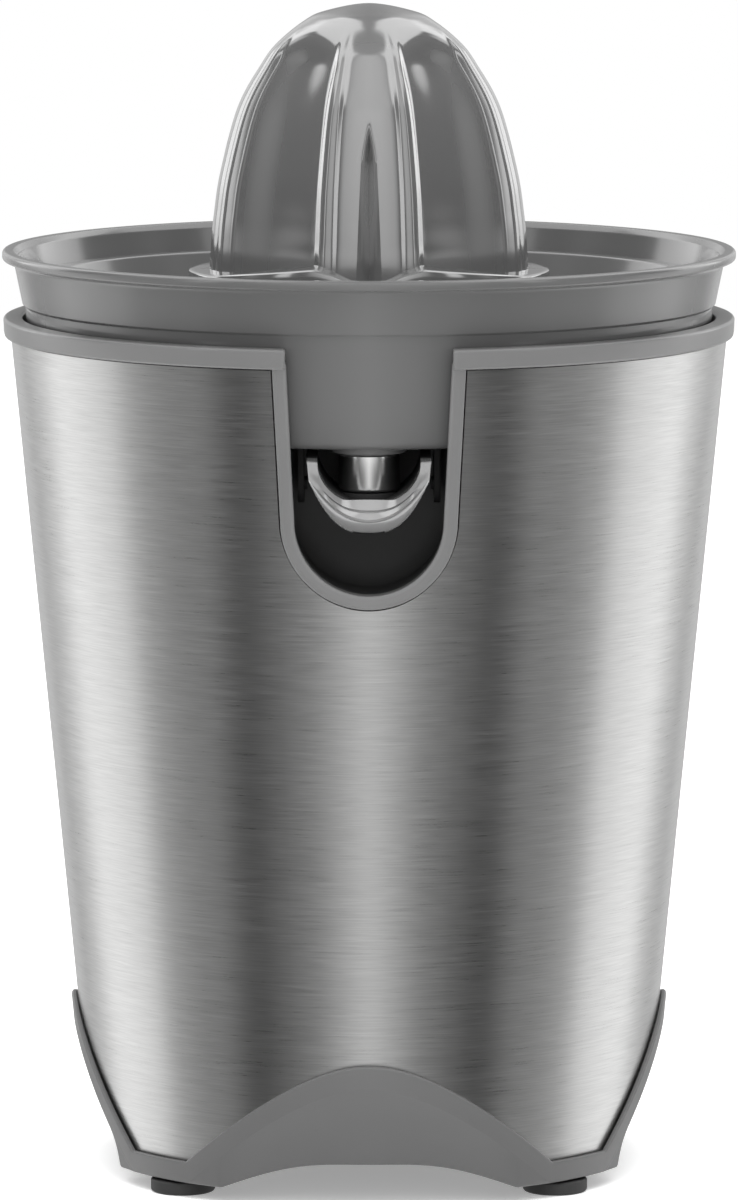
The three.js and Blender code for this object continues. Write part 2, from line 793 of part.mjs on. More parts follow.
function juicingCone() {
  const top = coneFlangeUnderside + coneFlangeThickness;
  // Share of the way up from the flange to the tip, and share of the full radius there.
  const outline = [[0.1, 0.99], [0.21, 0.972], [0.37, 0.93], [0.61, 0.82], [0.77, 0.674], [0.85, 0.575], [0.93, 0.415]];
  const body = swept((azimuth) => {
    const rise = flangeRise(azimuth);
    const edge = flangeRadiusAt(azimuth);
    const hollow = coneHollow(azimuth);
    const sides = outline.map(([up, wide]) => {
      const fade = Math.sqrt(wide) * (up < 0.9 ? 1 : 0.5);
      return [coneRadius * wide - hollow * fade, mix(top, coneTop, up)];
    });
    return [
      [0, coneFlangeUnderside],
      [edge, coneFlangeUnderside],
      [edge, top - 0.9 + rise * 0.8],
      [coneRadius - hollow * 0.6, top + rise],
      ...sides,
      [coneRadius * 0.2, coneTop - 0.9],
      [0, coneTop],
    ];
  }, roundSides);
  const inner = coneRadius - flankDepth - coneWall;
  const roof = shaftTop + slideGap + coneWall;
  const boss = hexAcrossFlats / 2 + gap + socketWall;
  const hollowTop = shaftTop - 6;
  const cavity = turned([
    [boss + 1, bowlChimneyTop],
    [inner, bowlChimneyTop],
    [inner, top],
    [inner * 0.82, mix(top, roof, 0.6)],
    [inner * 0.6, hollowTop],
    [boss + 1, hollowTop],
  ], 36);
  const chimneyRoom = rod(bowlChimneyRadius + slideGap, 0, bowlChimneyTop + pressTravel + 2 * slideGap);
  const socket = prism(hexagon(hexAcrossFlats + 2 * gap), 0, shaftTop + gap);
  return cut(body, cavity, chimneyRoom, socket);
}

// ---- Gear train ----

// A spur gear's outline: each tooth is a blunt wedge, thinned a little so that a pair runs free.
function gearOutline(teeth, module, turn) {
  const pitch = teeth * module / 2;
  const points = [];
  const step = 360 / teeth;
  for (let k = 0; k < teeth; k += 1) {
    const middle = turn + k * step;
    const corners = [
      [pitch - 1.2 * module, -0.36],
      [pitch + 0.9 * module, -0.11],
      [pitch + 0.9 * module, 0.11],
      [pitch - 1.2 * module, 0.36],
    ];
    corners.forEach(([radius, share]) => {
      const angle = (middle + share * step) * degrees;
      points.push([radius * Math.cos(angle), radius * Math.sin(angle)]);
    });
  }
  return points;
}

function circle(radius, sides) {
  return arc(0, 0, radius, 0, 360 * (1 - 1 / sides), sides - 1);
}

// Direction from one axis to another, in degrees.
function bearingOf(fromX, fromY, toX, toY) {
  return Math.atan2(toY - fromY, toX - fromX) / degrees;
}

const idlerToMotor = bearingOf(idlerX, idlerY, 0, motorToOutput);
const idlerToOutput = bearingOf(idlerX, idlerY, 0, 0);

// A tooth of each driver points at its partner, whose facing tooth space is turned to meet it.
function motorPinion() {
  const halfTooth = 180 / motorTeeth;
  const outline = gearOutline(motorTeeth, fineModule, idlerToMotor + 180 + halfTooth);
  const bore = circle(motorShaftRadius + gap, 12).reverse();
  return prism(outline, fineBottom - 1, fineTop + 1, [bore]).translate(0, motorToOutput, 0);
}

function compoundGear() {
  const bore = circle(idlerPinRadius + gap, 12).reverse();
  const large = prism(gearOutline(idlerLargeTeeth, fineModule, idlerToMotor), fineBottom, fineTop, [bore]);
  const small = prism(gearOutline(idlerSmallTeeth, coarseModule, idlerToOutput), fineTop, coarseTop, [bore]);
  return joined(large, small).translate(idlerX, idlerY, 0);
}

function outputGear() {
  const halfTooth = 180 / outputTeeth;
  const rim = prism(gearOutline(outputTeeth, coarseModule, idlerToOutput + 180 + halfTooth), coarseBottom, coarseTop);
  const hub = rod(hubRadius, hubBottom, hubTop, smallSides);
  const drive = prism(hexagon(hexAcrossFlats + 2 * gap), hubBottom - 1, hubTop + 1);
  return cut(joined(rim, hub), drive);
}


// A steel pin with its ends in the plate and the cover.
function idlerPin() {
  return rod(idlerPinRadius, plateBottom + 1, gearCoverTop - 0.5, 16).translate(idlerX, idlerY, 0);
}

function gearboxPlate() {
  const disc = rod(plateRadius, plateBottom, plateTop, roundSides);
  const well = rod(cupRadius + slideGap + wellWall, wellBottom, plateBottom, smallSides);
  const seatRadius = hubRadius + gap + bushWall + gap;
  const seatFloor = rod(seatRadius + wellWall, plateBottom - bushFloor, plateBottom, smallSides);
  const bushSeat = rod(seatRadius, plateBottom, plateTop + 1);
  const cupRoom = rod(cupRadius + slideGap, wellBottom + 2, plateTop, smallSides);
  const stemHole = rod(stemRadius + slideGap, wellBottom - 1, plateTop, 16);
  const motorHole = rod(bearingRadius + 3, plateBottom - 1, plateTop + 1).translate(0, motorToOutput, 0);
  const pinHole = rod(idlerPinRadius + gap, plateBottom - 1, plateTop + 1, 16).translate(idlerX, idlerY, 0);
  const screwHoles = quarters(pillarX, pillarY).map(([x, y]) => {
    return rod(pilotRadius + gap, plateBottom - 1, plateTop + 1, 8).translate(x, y, 0);
  });
  const coverHoles = gearCoverScrewPlaces().map(([x, y]) => {
    return rod(pilotRadius, plateBottom - 1, plateTop + 1, 8).translate(x, y, 0);
  });
  const body = joined(disc, well, seatFloor);
  return cut(body, bushSeat, cupRoom, stemHole, motorHole, pinHole, ...screwHoles, ...coverHoles);
}

// Outline of the gear cover: a belt round the gears.
function gearCoverOutline(margin) {
  const large = outputRadius + coarseModule + margin;
  const idler = idlerLargeRadius + fineModule + margin;
  const motor = pinionRadius + fineModule + margin;
  return [
    ...arc(0, 0, large, 215, 370, 10),
    ...arc(0, motorToOutput, motor, 10, 110, 6),
    ...arc(idlerX, idlerY, idler, 110, 215, 8),
  ];
}

function gearCoverScrewPlaces() {
  const reach = outputRadius + coarseModule + 2 * gearCoverWall + 4;
  return [-100, -20, 45].map((turn) => {
    return [reach * Math.cos(turn * degrees), reach * Math.sin(turn * degrees)];
  });
}

function gearboxCover() {
  const outer = prism(gearCoverOutline(gearCoverWall * 2), plateTop + gap, gearCoverTop);
  const inner = prism(gearCoverOutline(gearCoverWall), plateTop, gearCoverCeiling);
  const bushHole = rod(hubRadius + gap + bushWall + gap, plateTop, gearCoverTop + 1);
  const pinHole = rod(idlerPinRadius + gap, plateTop, gearCoverTop + 1, 16).translate(idlerX, idlerY, 0);
  const shell = cut(outer, inner, bushHole, pinHole);
  const lugs = gearCoverScrewPlaces().map(([x, y]) => {
    const inward = 1 - 3 / Math.hypot(x, y);
    const foot = rod(4.5, plateTop + gap, plateTop + gap + 2.5, 16);
    return cut(joined(foot.translate(x, y, 0), foot.translate(x * inward, y * inward, 0)), inner);
  });
  const holes = gearCoverScrewPlaces().map(([x, y]) => {
    return rod(pilotRadius + gap, plateTop, gearCoverTop, 8).translate(x, y, 0);
  });
  return cut(joined(shell, ...lugs), ...holes);
}

function outputBush(bottom, top) {
  return tube(hubRadius + gap + bushWall, hubRadius + gap, bottom, top);
}

// ---- Motor ----

function onMotorAxis(body) {
  return body.translate(0, motorToOutput, 0);
}

function statorStack() {
  const slots = [45, 135, 225, 315].map((turn) => {
    const slot = box(statorBore - 1, statorRadius - 5, -4, 4, statorBottom - 1, statorTop + 1);
    return slot.rotate([0, 0, turn]);
  });
  const holes = [45, 135, 225, 315].map((turn) => {
    const hole = rod(boltRadius + gap, statorBottom - 1, statorTop + 1, 8);
    return hole.translate(boltCircle, 0, 0).rotate([0, 0, turn]);
  });
  return onMotorAxis(cut(tube(statorRadius, statorBore, statorBottom, statorTop, 36), ...slots, ...holes));
}

function winding(bottom) {
  const outer = statorRadius - 4;
  const profile = [
    [outer - windingWall, bottom],
    [outer - 1.5, bottom],
    [outer, bottom + 2],
    [outer, bottom + windingHeight - 2],
    [outer - 1.5, bottom + windingHeight],
    [outer - windingWall, bottom + windingHeight],
  ];
  return onMotorAxis(turned(profile, smallSides));
}

// A bracket across one end of the motor: a round plate with a seat for the bearing.
function motorBracket(bottom) {
  const plate = rod(statorRadius - 2, bottom, bottom + motorBracketThickness, 24);
  const ears = [45, 135, 225, 315].map((turn) => {
    return box(0, statorRadius + 1, -3.5, 3.5, bottom, bottom + motorBracketThickness).rotate([0, 0, turn]);
  });
  const holes = [45, 135, 225, 315].map((turn) => {
    return rod(boltRadius + gap, bottom - 1, bottom + 4, 8).translate(boltCircle, 0, 0).rotate([0, 0, turn]);
  });
  const bearingSeat = rod(bearingRadius + gap, bottom - 1, bottom + 4);
  return onMotorAxis(cut(joined(plate, ...ears), bearingSeat, ...holes));
}


// One of the long bolts that clamp the brackets over the stator.
function motorBolt(turn) {
  const body = rod(boltRadius, motorBottom - 2, motorTop + gap, 10);
  const head = rod(boltRadius * 2, motorTop + gap, motorTop + gap + 1.6, 6);
  return onMotorAxis(joined(body, head).translate(boltCircle, 0, 0).rotate([0, 0, turn]));
}

function bearing(bottom) {
  return onMotorAxis(tube(bearingRadius, motorShaftRadius + gap, bottom, bottom + bearingHeight, 20));
}

function rotor() {
  return onMotorAxis(tube(statorBore - slideGap, motorShaftRadius + gap, statorBottom - 1, statorTop + 1, 32));
}

function motorShaft() {
  return onMotorAxis(rod(motorShaftRadius, motorBottom - 4, fineTop + 2, 16));
}

function coolingFan() {
  const hub = rod(motorShaftRadius + 3, fanBottom, fanBottom + fanHeight, 16);
  const disc = rod(fanRadius, fanBottom, fanBottom + 1.2, smallSides);
  const blades = [];
  for (let k = 0; k < fanBlades; k += 1) {
    const blade = box(motorShaftRadius + 2, fanRadius - 1, -0.6, 0.6, fanBottom, fanBottom + fanHeight);
    blades.push(blade.rotate([0, 0, k * 360 / fanBlades]));
  }
  return onMotorAxis(cut(joined(hub, disc, ...blades), rod(motorShaftRadius + gap, fanBottom - 1, plateTop, 16)));
}

// ---- Drive shaft, thrust spring and switch ----

function driveShaft() {
  const hexTop = hubTop + 1;
  const lower = prism(hexagon(hexAcrossFlats), shaftBottom, hexTop);
  const plain = rod(shaftRadius, hexTop + pressTravel, coneFlangeUnderside, smallSides);
  const upper = prism(hexagon(hexAcrossFlats), hexTop - 1, shaftTop);
  return joined(lower, plain, upper);
}

function thrustCup() {
  return turned([
    [0, stemBottom],
    [stemRadius, stemBottom],
    [stemRadius, cupTop - cupThickness],
    [cupRadius, cupTop - cupThickness],
    [cupRadius, cupTop],
    [0, cupTop],
  ], smallSides);
}

// A compression spring between the well's floor and the cup.
function thrustSpring() {
  const low = wellBottom + 2 + gap + springWire;
  const high = cupTop - cupThickness - gap - springWire;
  const turns = springTurns;
  class Coil extends THREE.Curve {
    getPoint(t, target = new THREE.Vector3()) {
      const angle = t * turns * 2 * Math.PI;
      return target.set(springRadius * Math.cos(angle), springRadius * Math.sin(angle), mix(low, high, t));
    }
  }
  const section = new THREE.Shape(circle(springWire, 5).map(([x, y]) => new THREE.Vector2(x, y)));
  const options = { extrudePath: new Coil(), steps: turns * 8, bevelEnabled: false };
  return solid(new THREE.ExtrudeGeometry(section, options));
}

function switchBody() {
  const half = switchWidth / 2;
  const room = rod(buttonRadius + gap, switchTop - pressTravel - 1, switchTop + 1, 12);
  const body = box(-switchLength / 2 + 3, switchLength / 2 + 3, -half, half, switchTop - switchHeight, switchTop);
  const terminals = [-4, 3, 10].map((x) => {
    return box(x - 1.2, x + 1.2, -0.3, 0.3, switchTop - switchHeight - 4, switchTop - switchHeight + 1);
  });
  return cut(joined(body, ...terminals), room);
}

function switchButton() {
  return rod(buttonRadius, switchTop - 0.4, buttonTop, 12);
}

// A stirrup that hangs the switch under the plate.
function switchBracket() {
  const low = switchTop - switchHeight - gap - 1.2;
  const half = switchLength / 2 + gap + 3;
  const wall = 1.2;
  const depth = switchWidth / 2;
  const left = -(cupRadius + slideGap + wellWall + gap + wall);
  const legTop = plateBottom - bushFloor - gap;
  const legs = [
    box(left - 0.1, left + wall, -depth, depth, low, legTop),
    box(half, half + wall, -depth, depth, low, legTop),
  ];
  const base = cut(
    box(left, half + 1, -depth, depth, low, low + wall),
    box(left + 4, half - 1.5, -1.5, 1.5, low - 1, low + 2),
  );
  return joined(...legs, base);
}

// ---- The assembly ----

const juicer = new THREE.Group();

function add(name, body, finish) {
  const mesh = new THREE.Mesh(geometryOf(body), new THREE.MeshStandardMaterial(finish));
  mesh.name = name;
  juicer.add(mesh);
}

const greyPlastic = { color: 0x6e6e6e, roughness: 0.32, metalness: 0 };
const blackPlastic = { color: 0x262626, roughness: 0.45, metalness: 0 };
const whitePlastic = { color: 0xd9d6cc, roughness: 0.5, metalness: 0 };
const brushedSteel = { color: 0xb4b4b2, roughness: 0.34, metalness: 1 };
const brightMetal = { color: 0xd2d2d0, roughness: 0.14, metalness: 1 };
const zincSteel = { color: 0xa8aaa8, roughness: 0.4, metalness: 1 };
const darkSteel = { color: 0x5c5e60, roughness: 0.5, metalness: 1 };
const copper = { color: 0xa8562c, roughness: 0.4, metalness: 1 };
const bronze = { color: 0x8c6a3c, roughness: 0.5, metalness: 1 };
const rubber = { color: 0x3a3a3a, roughness: 0.8, metalness: 0 };

add('steel_shell', steelShell(), brushedSteel);
add('collar_frame', collarFrame(), greyPlastic);
add('spout_recess', spoutRecess(), blackPlastic);
add('deck', deck(), blackPlastic);
add('shaft_seal', shaftSeal(), rubber);
add('base_skirt', baseSkirt(), greyPlastic);
add('bottom_cover', bottomCover(), blackPlastic);
add('cord_gland', cordGland(), rubber);

const footNames = ['foot_front_left', 'foot_front_right', 'foot_rear_left', 'foot_rear_right'];
quarters(footX, footY).forEach(([x, y], k) => {
  add(footNames[k], foot().translate(x, y, 0), rubber);
});
quarters(pillarX, pillarY).forEach(([x, y], k) => {
  const up = screw(pilotRadius - gap, 12).rotate([180, 0, 0]).translate(x, y, coverBottom - gap);
  add(`base_screw_${k + 1}`, up, zincSteel);
  const down = screw(pilotRadius - gap, 14).translate(x, y, plateTop + gap);
  add(`plate_screw_${k + 1}`, down, zincSteel);
});

add('gearbox_plate', gearboxPlate(), zincSteel);
add('gearbox_cover', gearboxCover(), whitePlastic);
gearCoverScrewPlaces().forEach(([x, y], k) => {
  const down = screw(pilotRadius - gap, 5).translate(x, y, plateTop + gap + 2.5 + gap);
  add(`gearbox_screw_${k + 1}`, down, zincSteel);
});
add('output_bush_lower', outputBush(plateBottom + gap, plateTop), bronze);
add('output_bush_upper', outputBush(gearCoverCeiling - 1, gearCoverTop), bronze);
add('idler_pin', idlerPin(), darkSteel);
add('compound_gear', compoundGear(), whitePlastic);
add('output_gear', outputGear(), whitePlastic);

add('stator_stack', statorStack(), darkSteel);
add('winding_lower', winding(statorBottom - gap - windingHeight), copper);
add('winding_upper', winding(statorTop + gap), copper);
add('motor_bracket_lower', motorBracket(motorBottom), zincSteel);
add('motor_bracket_upper', motorBracket(motorTop - motorBracketThickness), zincSteel);
add('bearing_lower', bearing(motorBottom - 1), bronze);
add('bearing_upper', bearing(motorTop - motorBracketThickness - 2), bronze);
[45, 135, 225, 315].forEach((turn, k) => {
  add(`motor_bolt_${k + 1}`, motorBolt(turn), zincSteel);
});
add('rotor', rotor(), darkSteel);
add('motor_shaft', motorShaft(), zincSteel);
add('motor_pinion', motorPinion(), bronze);
add('cooling_fan', coolingFan(), blackPlastic);

add('drive_shaft', driveShaft(), zincSteel);
add('thrust_cup', thrustCup(), whitePlastic);
add('thrust_spring', thrustSpring(), zincSteel);
add('switch_body', switchBody(), blackPlastic);
add('switch_button', switchButton(), whitePlastic);
add('switch_bracket', switchBracket(), zincSteel);

add('juice_bowl', juiceBowl(), greyPlastic);
add('outlet_nozzle', outletNozzle(), brightMetal);
add('drip_spout', dripSpout(), brightMetal);
add('spout_seal', spoutSeal(), rubber);
add('pulp_strainer', pulpStrainer(), greyPlastic);
add('juicing_cone', juicingCone(), greyPlastic);

export default juicer;
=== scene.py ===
from math import acos, asin, cos, degrees, hypot, pi, radians, sin, sqrt, tan
import bmesh
import bpy
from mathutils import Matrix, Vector


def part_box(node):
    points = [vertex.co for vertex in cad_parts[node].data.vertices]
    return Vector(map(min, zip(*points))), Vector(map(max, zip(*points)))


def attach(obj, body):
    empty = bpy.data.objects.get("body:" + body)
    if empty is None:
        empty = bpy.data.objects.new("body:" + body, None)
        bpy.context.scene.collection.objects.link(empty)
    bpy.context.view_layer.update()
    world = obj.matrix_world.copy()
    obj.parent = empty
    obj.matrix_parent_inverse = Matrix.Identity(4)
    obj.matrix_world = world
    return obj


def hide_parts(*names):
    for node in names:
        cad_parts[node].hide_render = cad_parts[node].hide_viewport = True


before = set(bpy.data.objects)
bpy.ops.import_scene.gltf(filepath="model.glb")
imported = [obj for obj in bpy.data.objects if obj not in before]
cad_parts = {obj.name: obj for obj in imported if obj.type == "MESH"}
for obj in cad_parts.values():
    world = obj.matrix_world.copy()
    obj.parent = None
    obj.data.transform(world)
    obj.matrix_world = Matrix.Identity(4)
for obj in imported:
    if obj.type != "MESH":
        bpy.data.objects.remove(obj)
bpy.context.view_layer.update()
scene = bpy.context.scene
mm = 0.001  # sizes below are in millimetres and are scaled as the meshes are made


def mix(a, b, share):
    return a + (b - a) * share


def clamp(value, low=0.0, high=1.0):
    return max(low, min(high, value))


def smooth(low, high, value):
    share = clamp((value - low) / (high - low))
    return share * share * (3 - 2 * share)


def between(stops, value):  # reads a list of (place, amount), with straight lines from one to the next
    for (a, p), (b, q) in zip(stops, stops[1:]):
        if value <= b:
            return mix(p, q, (value - a) / (b - a))
    return stops[-1][1]


def boxMm(node):
    low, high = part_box(node)
    return low / mm, high / mm


class Wire:  # one socket of a node tree, which can be used in sums
    def __init__(self, tree, socket=None):
        self.tree, self.socket = tree, socket

    def make(self, kind, settings=None, sockets=None, out=0):
        node = self.tree.nodes.new(kind)
        for key, value in (settings or {}).items():
            if key == "stops":
                fillRamp(node.color_ramp, value)
            else:
                setattr(node, key, value)
        for key, value in (sockets or {}).items():
            if isinstance(value, Wire):
                self.tree.links.new(value.socket, node.inputs[key])
            else:
                node.inputs[key].default_value = value
        return Wire(self.tree, node.outputs[out] if node.outputs else None)

    def math(self, operation, *values, clampIt=False):
        settings = {"operation": operation, "use_clamp": clampIt}
        return self.make("ShaderNodeMath", settings, dict(enumerate(values)))

    def __add__(self, other):
        return self.math("ADD", self, other)

    def __radd__(self, other):
        return self.math("ADD", other, self)

    def __sub__(self, other):
        return self.math("SUBTRACT", self, other)

    def __rsub__(self, other):
        return self.math("SUBTRACT", other, self)

    def __mul__(self, other):
        return self.math("MULTIPLY", self, other)

    def __rmul__(self, other):
        return self.math("MULTIPLY", other, self)

    def __truediv__(self, other):
        return self.math("DIVIDE", self, other)

    def __abs__(self):
        return self.math("ABSOLUTE", self)

    def clamped(self):
        return self.math("ADD", self, 0.0, clampIt=True)

    def ramp(self, *stops):
        return self.make("ShaderNodeValToRGB", {"stops": stops}, {"Fac": self})

    def part(self, axis):
        return self.make("ShaderNodeSeparateXYZ", {}, {"Vector": self}, out="XYZ".index(axis))

    def scaled(self, x, y, z):
        return self.make("ShaderNodeVectorMath", {"operation": "MULTIPLY"}, {0: self, 1: (x, y, z)})

    def blend(self, share, first, second):
        return self.make("ShaderNodeMix", {"data_type": "RGBA"}, {0: share, 6: first, 7: second}, out=2)

    def surface(self, colour, rough, normal, **others):  # other sockets are named with _ for a space
        sockets = {"Base Color": colour, "Roughness": rough, "Normal": normal}
        sockets.update({name.replace("_", " "): value for name, value in others.items()})
        return self.make("ShaderNodeBsdfPrincipled", {}, sockets)


def fillRamp(ramp, stops):
    while len(ramp.elements) < len(stops):
        ramp.elements.new(0.5)
    for element, (place, value) in zip(ramp.elements, stops):
        element.position = place
        element.color = (value, value, value, 1) if isinstance(value, (int, float)) else (*value, 1)


def newMaterial(name, build):
    material = bpy.data.materials.new(name)
    material.use_nodes = True
    material.node_tree.nodes.clear()
    start = Wire(material.node_tree)
    start.make("ShaderNodeOutputMaterial", {}, {"Surface": build(start)})
    return material


def place(start):  # a point of the surface in metres, in the object's own frame
    return start.make("ShaderNodeTexCoord", out=3)


def noise(start, vector, scale, detail=3.0, roughness=0.5):
    sockets = {"Vector": vector, "Scale": scale, "Detail": detail, "Roughness": roughness}
    return start.make("ShaderNodeTexNoise", {}, sockets)


def bump(start, height, distance, strength=1.0):
    return start.make("ShaderNodeBump", {}, {"Height": height, "Distance": distance, "Strength": strength})


def grey(level, warmth=0.0):
    return (level * (1 + warmth), level, level * (1 - warmth))


def colourMix(start, share, first, second):
    return start.blend(share, (*first, 1), (*second, 1))


def varied(tint, share):  # a darker and a lighter copy of a colour
    return tuple(c * (1 - share) for c in tint), tuple(min(1.0, c * (1 + share)) for c in tint)


def moulded(name, look):  # moulded plastic, with faint flow marks, fine grain and patches dulled by wear
    def build(start):
        spot = place(start)
        flow = noise(start, spot, look["flow"], 4.0)
        grain = noise(start, spot, look["grain"], 2.0)
        wear = noise(start, spot, look["flow"] * 0.4, 5.0, 0.6)
        level, warmth = look["level"], look.get("warmth", 0.0)
        dark, light = level * (1 - look["vary"]), level * (1 + look["vary"])
        colour = colourMix(start, flow, grey(dark, warmth), grey(light, warmth))
        rough = look["rough"] + (wear - 0.5) * look["roughVary"]
        normal = bump(start, grain * 0.7 + flow * 0.3, look["grainDepth"] * mm, 0.6)
        return start.surface(colour, rough, normal, IOR=1.5, Metallic=look.get("metallic", 0.0),
                             Coat_Weight=look.get("coat", 0.0), Coat_Roughness=0.05)
    return newMaterial(name, build)


greyPlasticLook = dict(level=0.165, vary=0.05, rough=0.3, roughVary=0.1, coat=0.15, flow=35, grain=2600,
                       grainDepth=0.012)
bowlPlasticLook = dict(level=0.115, vary=0.05, rough=0.22, roughVary=0.08, coat=0.6, flow=30, grain=2200,
                       grainDepth=0.006)
conePlasticLook = dict(level=0.30, vary=0.04, metallic=0.7, rough=0.13, roughVary=0.04, coat=0.6, flow=40,
                       grain=2000, grainDepth=0.004)
blackPlasticLook = dict(level=0.012, vary=0.2, rough=0.5, roughVary=0.15, flow=45, grain=1800,
                        grainDepth=0.03)
skirtPlasticLook = dict(level=0.125, vary=0.06, rough=0.36, roughVary=0.1, coat=0.05, flow=35, grain=2400,
                        grainDepth=0.02)
whitePlasticLook = dict(level=0.7, warmth=0.03, vary=0.03, rough=0.42, roughVary=0.1, flow=60, grain=1500,
                        grainDepth=0.02)
# painted light: the recess liner is black plastic, and this lighter grey stands in for light reaching the recess
recessPaintedLightLook = dict(level=0.085, vary=0.06, rough=0.6, roughVary=0.1, flow=45, grain=1800, grainDepth=0.03)
# painted shade: a near-black plastic for places that only stand in deep shade, namely the spout's ears, its pins
# and the inside of its trough
paintedShadeLook = dict(level=0.02, vary=0.1, rough=0.6, roughVary=0.1, flow=60, grain=1800, grainDepth=0.02)


brushedLook = dict(tint=(0.60, 0.60, 0.595), rough=0.3, lines=3600, depth=0.006)


def brushedSteel():  # fine level scratches round the shell, with a few longer and duller ones
    def build(start):
        spot = place(start)
        fine = noise(start, spot.scaled(110, 110, brushedLook["lines"]), 1.0, 3.0, 0.6)
        broad = noise(start, spot.scaled(40, 40, brushedLook["lines"] / 3), 1.0, 2.0, 0.5)
        cloud = noise(start, spot.scaled(14, 14, 30), 1.0, 3.0)
        lines = fine * 0.75 + broad * 0.25
        dark = tuple(c * 0.86 for c in brushedLook["tint"])
        light = tuple(c * 1.12 for c in brushedLook["tint"])
        colour = colourMix(start, lines.ramp((0.3, 0.0), (0.7, 1.0)), dark, light)
        rough = brushedLook["rough"] + (lines - 0.5) * 0.16 + (cloud - 0.5) * 0.06
        normal = bump(start, lines, brushedLook["depth"] * mm, 0.5)
        return start.surface(colour, rough, normal, Metallic=1.0, Anisotropic=0.7, Anisotropic_Rotation=0.25)
    return newMaterial("brushedSteel", build)


def metal(name, look):  # plain metal parts: turned, plated or polished
    def build(start):
        spot = place(start)
        cloud = noise(start, spot, look["cloud"], 4.0, 0.6)
        fine = noise(start, spot.scaled(1, 1, look["stretch"]), look["grain"], 2.0)
        colour = colourMix(start, cloud, *varied(look["tint"], look["vary"]))
        rough = look["rough"] + (cloud - 0.5) * look["roughVary"] + (fine - 0.5) * look["roughVary"] * 0.5
        normal = bump(start, fine, look["depth"] * mm, 0.4)
        return start.surface(colour, rough, normal, Metallic=1.0)
    return newMaterial(name, build)


chromeLook = dict(tint=(0.78, 0.78, 0.775), vary=0.03, rough=0.09, roughVary=0.05,
                  cloud=60, grain=900, stretch=1, depth=0.002)
zincLook = dict(tint=(0.60, 0.61, 0.60), vary=0.1, rough=0.38, roughVary=0.2,
                cloud=90, grain=1500, stretch=1, depth=0.01)
darkSteelLook = dict(tint=(0.17, 0.17, 0.18), vary=0.15, rough=0.5, roughVary=0.2,
                     cloud=70, grain=60, stretch=40, depth=0.05)
bronzeLook = dict(tint=(0.55, 0.40, 0.22), vary=0.15, rough=0.45, roughVary=0.2,
                  cloud=120, grain=1800, stretch=1, depth=0.02)


windingLook = dict(tint=(0.62, 0.26, 0.12), wire=0.45, depth=0.12)


def windingCopper():  # enamelled wire laid in rings
    def build(start):
        spot = place(start)
        height = spot.part("Z")
        turns = start.math("SINE", height * (2 * pi / (windingLook["wire"] * mm)))
        cloud = noise(start, spot, 120, 3.0)
        tint = windingLook["tint"]
        dark = tuple(c * 0.6 for c in tint)
        # partly painted shade: the colour is darker where the bump is low, between the turns, and the cloud adds
        # random tone
        colour = colourMix(start, (turns * 0.25 + cloud * 0.6).clamped(), dark, tint)
        normal = bump(start, turns, windingLook["depth"] * mm, 0.7)
        return start.surface(colour, 0.35 + cloud * 0.15, normal, Metallic=0.8)
    return newMaterial("windingCopper", build)


rubberLook = dict(level=0.035, rough=0.72, grain=1300, depth=0.05)


def softRubber():
    def build(start):
        spot = place(start)
        cloud = noise(start, spot, 80, 4.0)
        grain = noise(start, spot, rubberLook["grain"], 2.0)
        level = rubberLook["level"]
        colour = colourMix(start, cloud, grey(level * 0.7), grey(level * 1.35))
        normal = bump(start, grain, rubberLook["depth"] * mm, 0.6)
        return start.surface(colour, rubberLook["rough"] + (cloud - 0.5) * 0.2, normal)
    return newMaterial("softRubber", build)


finishes = {
    "shell_steel": brushedSteel(),
    "grey_plastic": moulded("collarPlastic", greyPlasticLook),
    "bowl_plastic": moulded("bowlPlastic", bowlPlasticLook),
    "cone_plastic": moulded("conePlastic", conePlasticLook),
    "black_plastic": moulded("blackPlastic", blackPlasticLook),
    "white_plastic": moulded("gearAcetal", whitePlasticLook),
    "bright_metal": metal("polishedMetal", chromeLook),
    "plated_steel": metal("zincSteel", zincLook),
    "dark_steel": metal("laminatedSteel", darkSteelLook),
    "bronze": metal("sinteredBronze", bronzeLook),
    "copper": windingCopper(),
    "rubber": softRubber(),
}
skirtPlastic = moulded("skirtPlastic", skirtPlasticLook)
# painted light: a lighter copy of the black plastic, for the recess liner
recessPaintedLightPlastic = moulded("recessPaintedLightPlastic", recessPaintedLightLook)
print("materials made:", len(finishes) + 2)


def rounded(corners, steps=5):  # a closed outline with an arc at each corner that has a radius
    outline = []
    for k, corner in enumerate(corners):
        here = Vector(corner[:2])
        radius = corner[2] if len(corner) > 2 else 0
        back = Vector(corners[k - 1][:2]) - here
        ahead = Vector(corners[(k + 1) % len(corners)][:2]) - here
        if radius <= 0 or back.length < 1e-6 or ahead.length < 1e-6:
            outline.append((here.x, here.y))
            continue
        back.normalize()
        ahead.normalize()
        half = acos(clamp(back.dot(ahead), -1, 1)) / 2
        reach = radius / tan(half)
        start, end = here + back * reach, here + ahead * reach
        centre = here + (back + ahead).normalized() * (radius / sin(half))
        for step in range(steps + 1):
            share = step / steps
            spoke = (start - centre).lerp(end - centre, share).normalized() * radius
            outline.append((centre.x + spoke.x, centre.y + spoke.y))
    return outline


def newPiece(name, points, faces, finish, sharp=32):
    mesh = bpy.data.meshes.new(name)
    mesh.from_pydata([(x * mm, y * mm, z * mm) for x, y, z in points], [], faces)
    mesh.validate()
    piece = bpy.data.objects.new(name, mesh)
    scene.collection.objects.link(piece)
    mesh.materials.append(finish)
    tidyMesh(mesh, sharp)
    return piece


def tidyMesh(mesh, sharp):
    work = bmesh.new()
    work.from_mesh(mesh)
    bmesh.ops.remove_doubles(work, verts=work.verts, dist=2e-6)
    bmesh.ops.dissolve_degenerate(work, edges=work.edges, dist=1e-7)
    bmesh.ops.recalc_face_normals(work, faces=work.faces)
    for face in work.faces:
        face.smooth = True
    for edge in work.edges:
        edge.smooth = not (edge.is_manifold and edge.calc_face_angle(0) > radians(sharp))
    work.to_mesh(mesh)
    work.free()


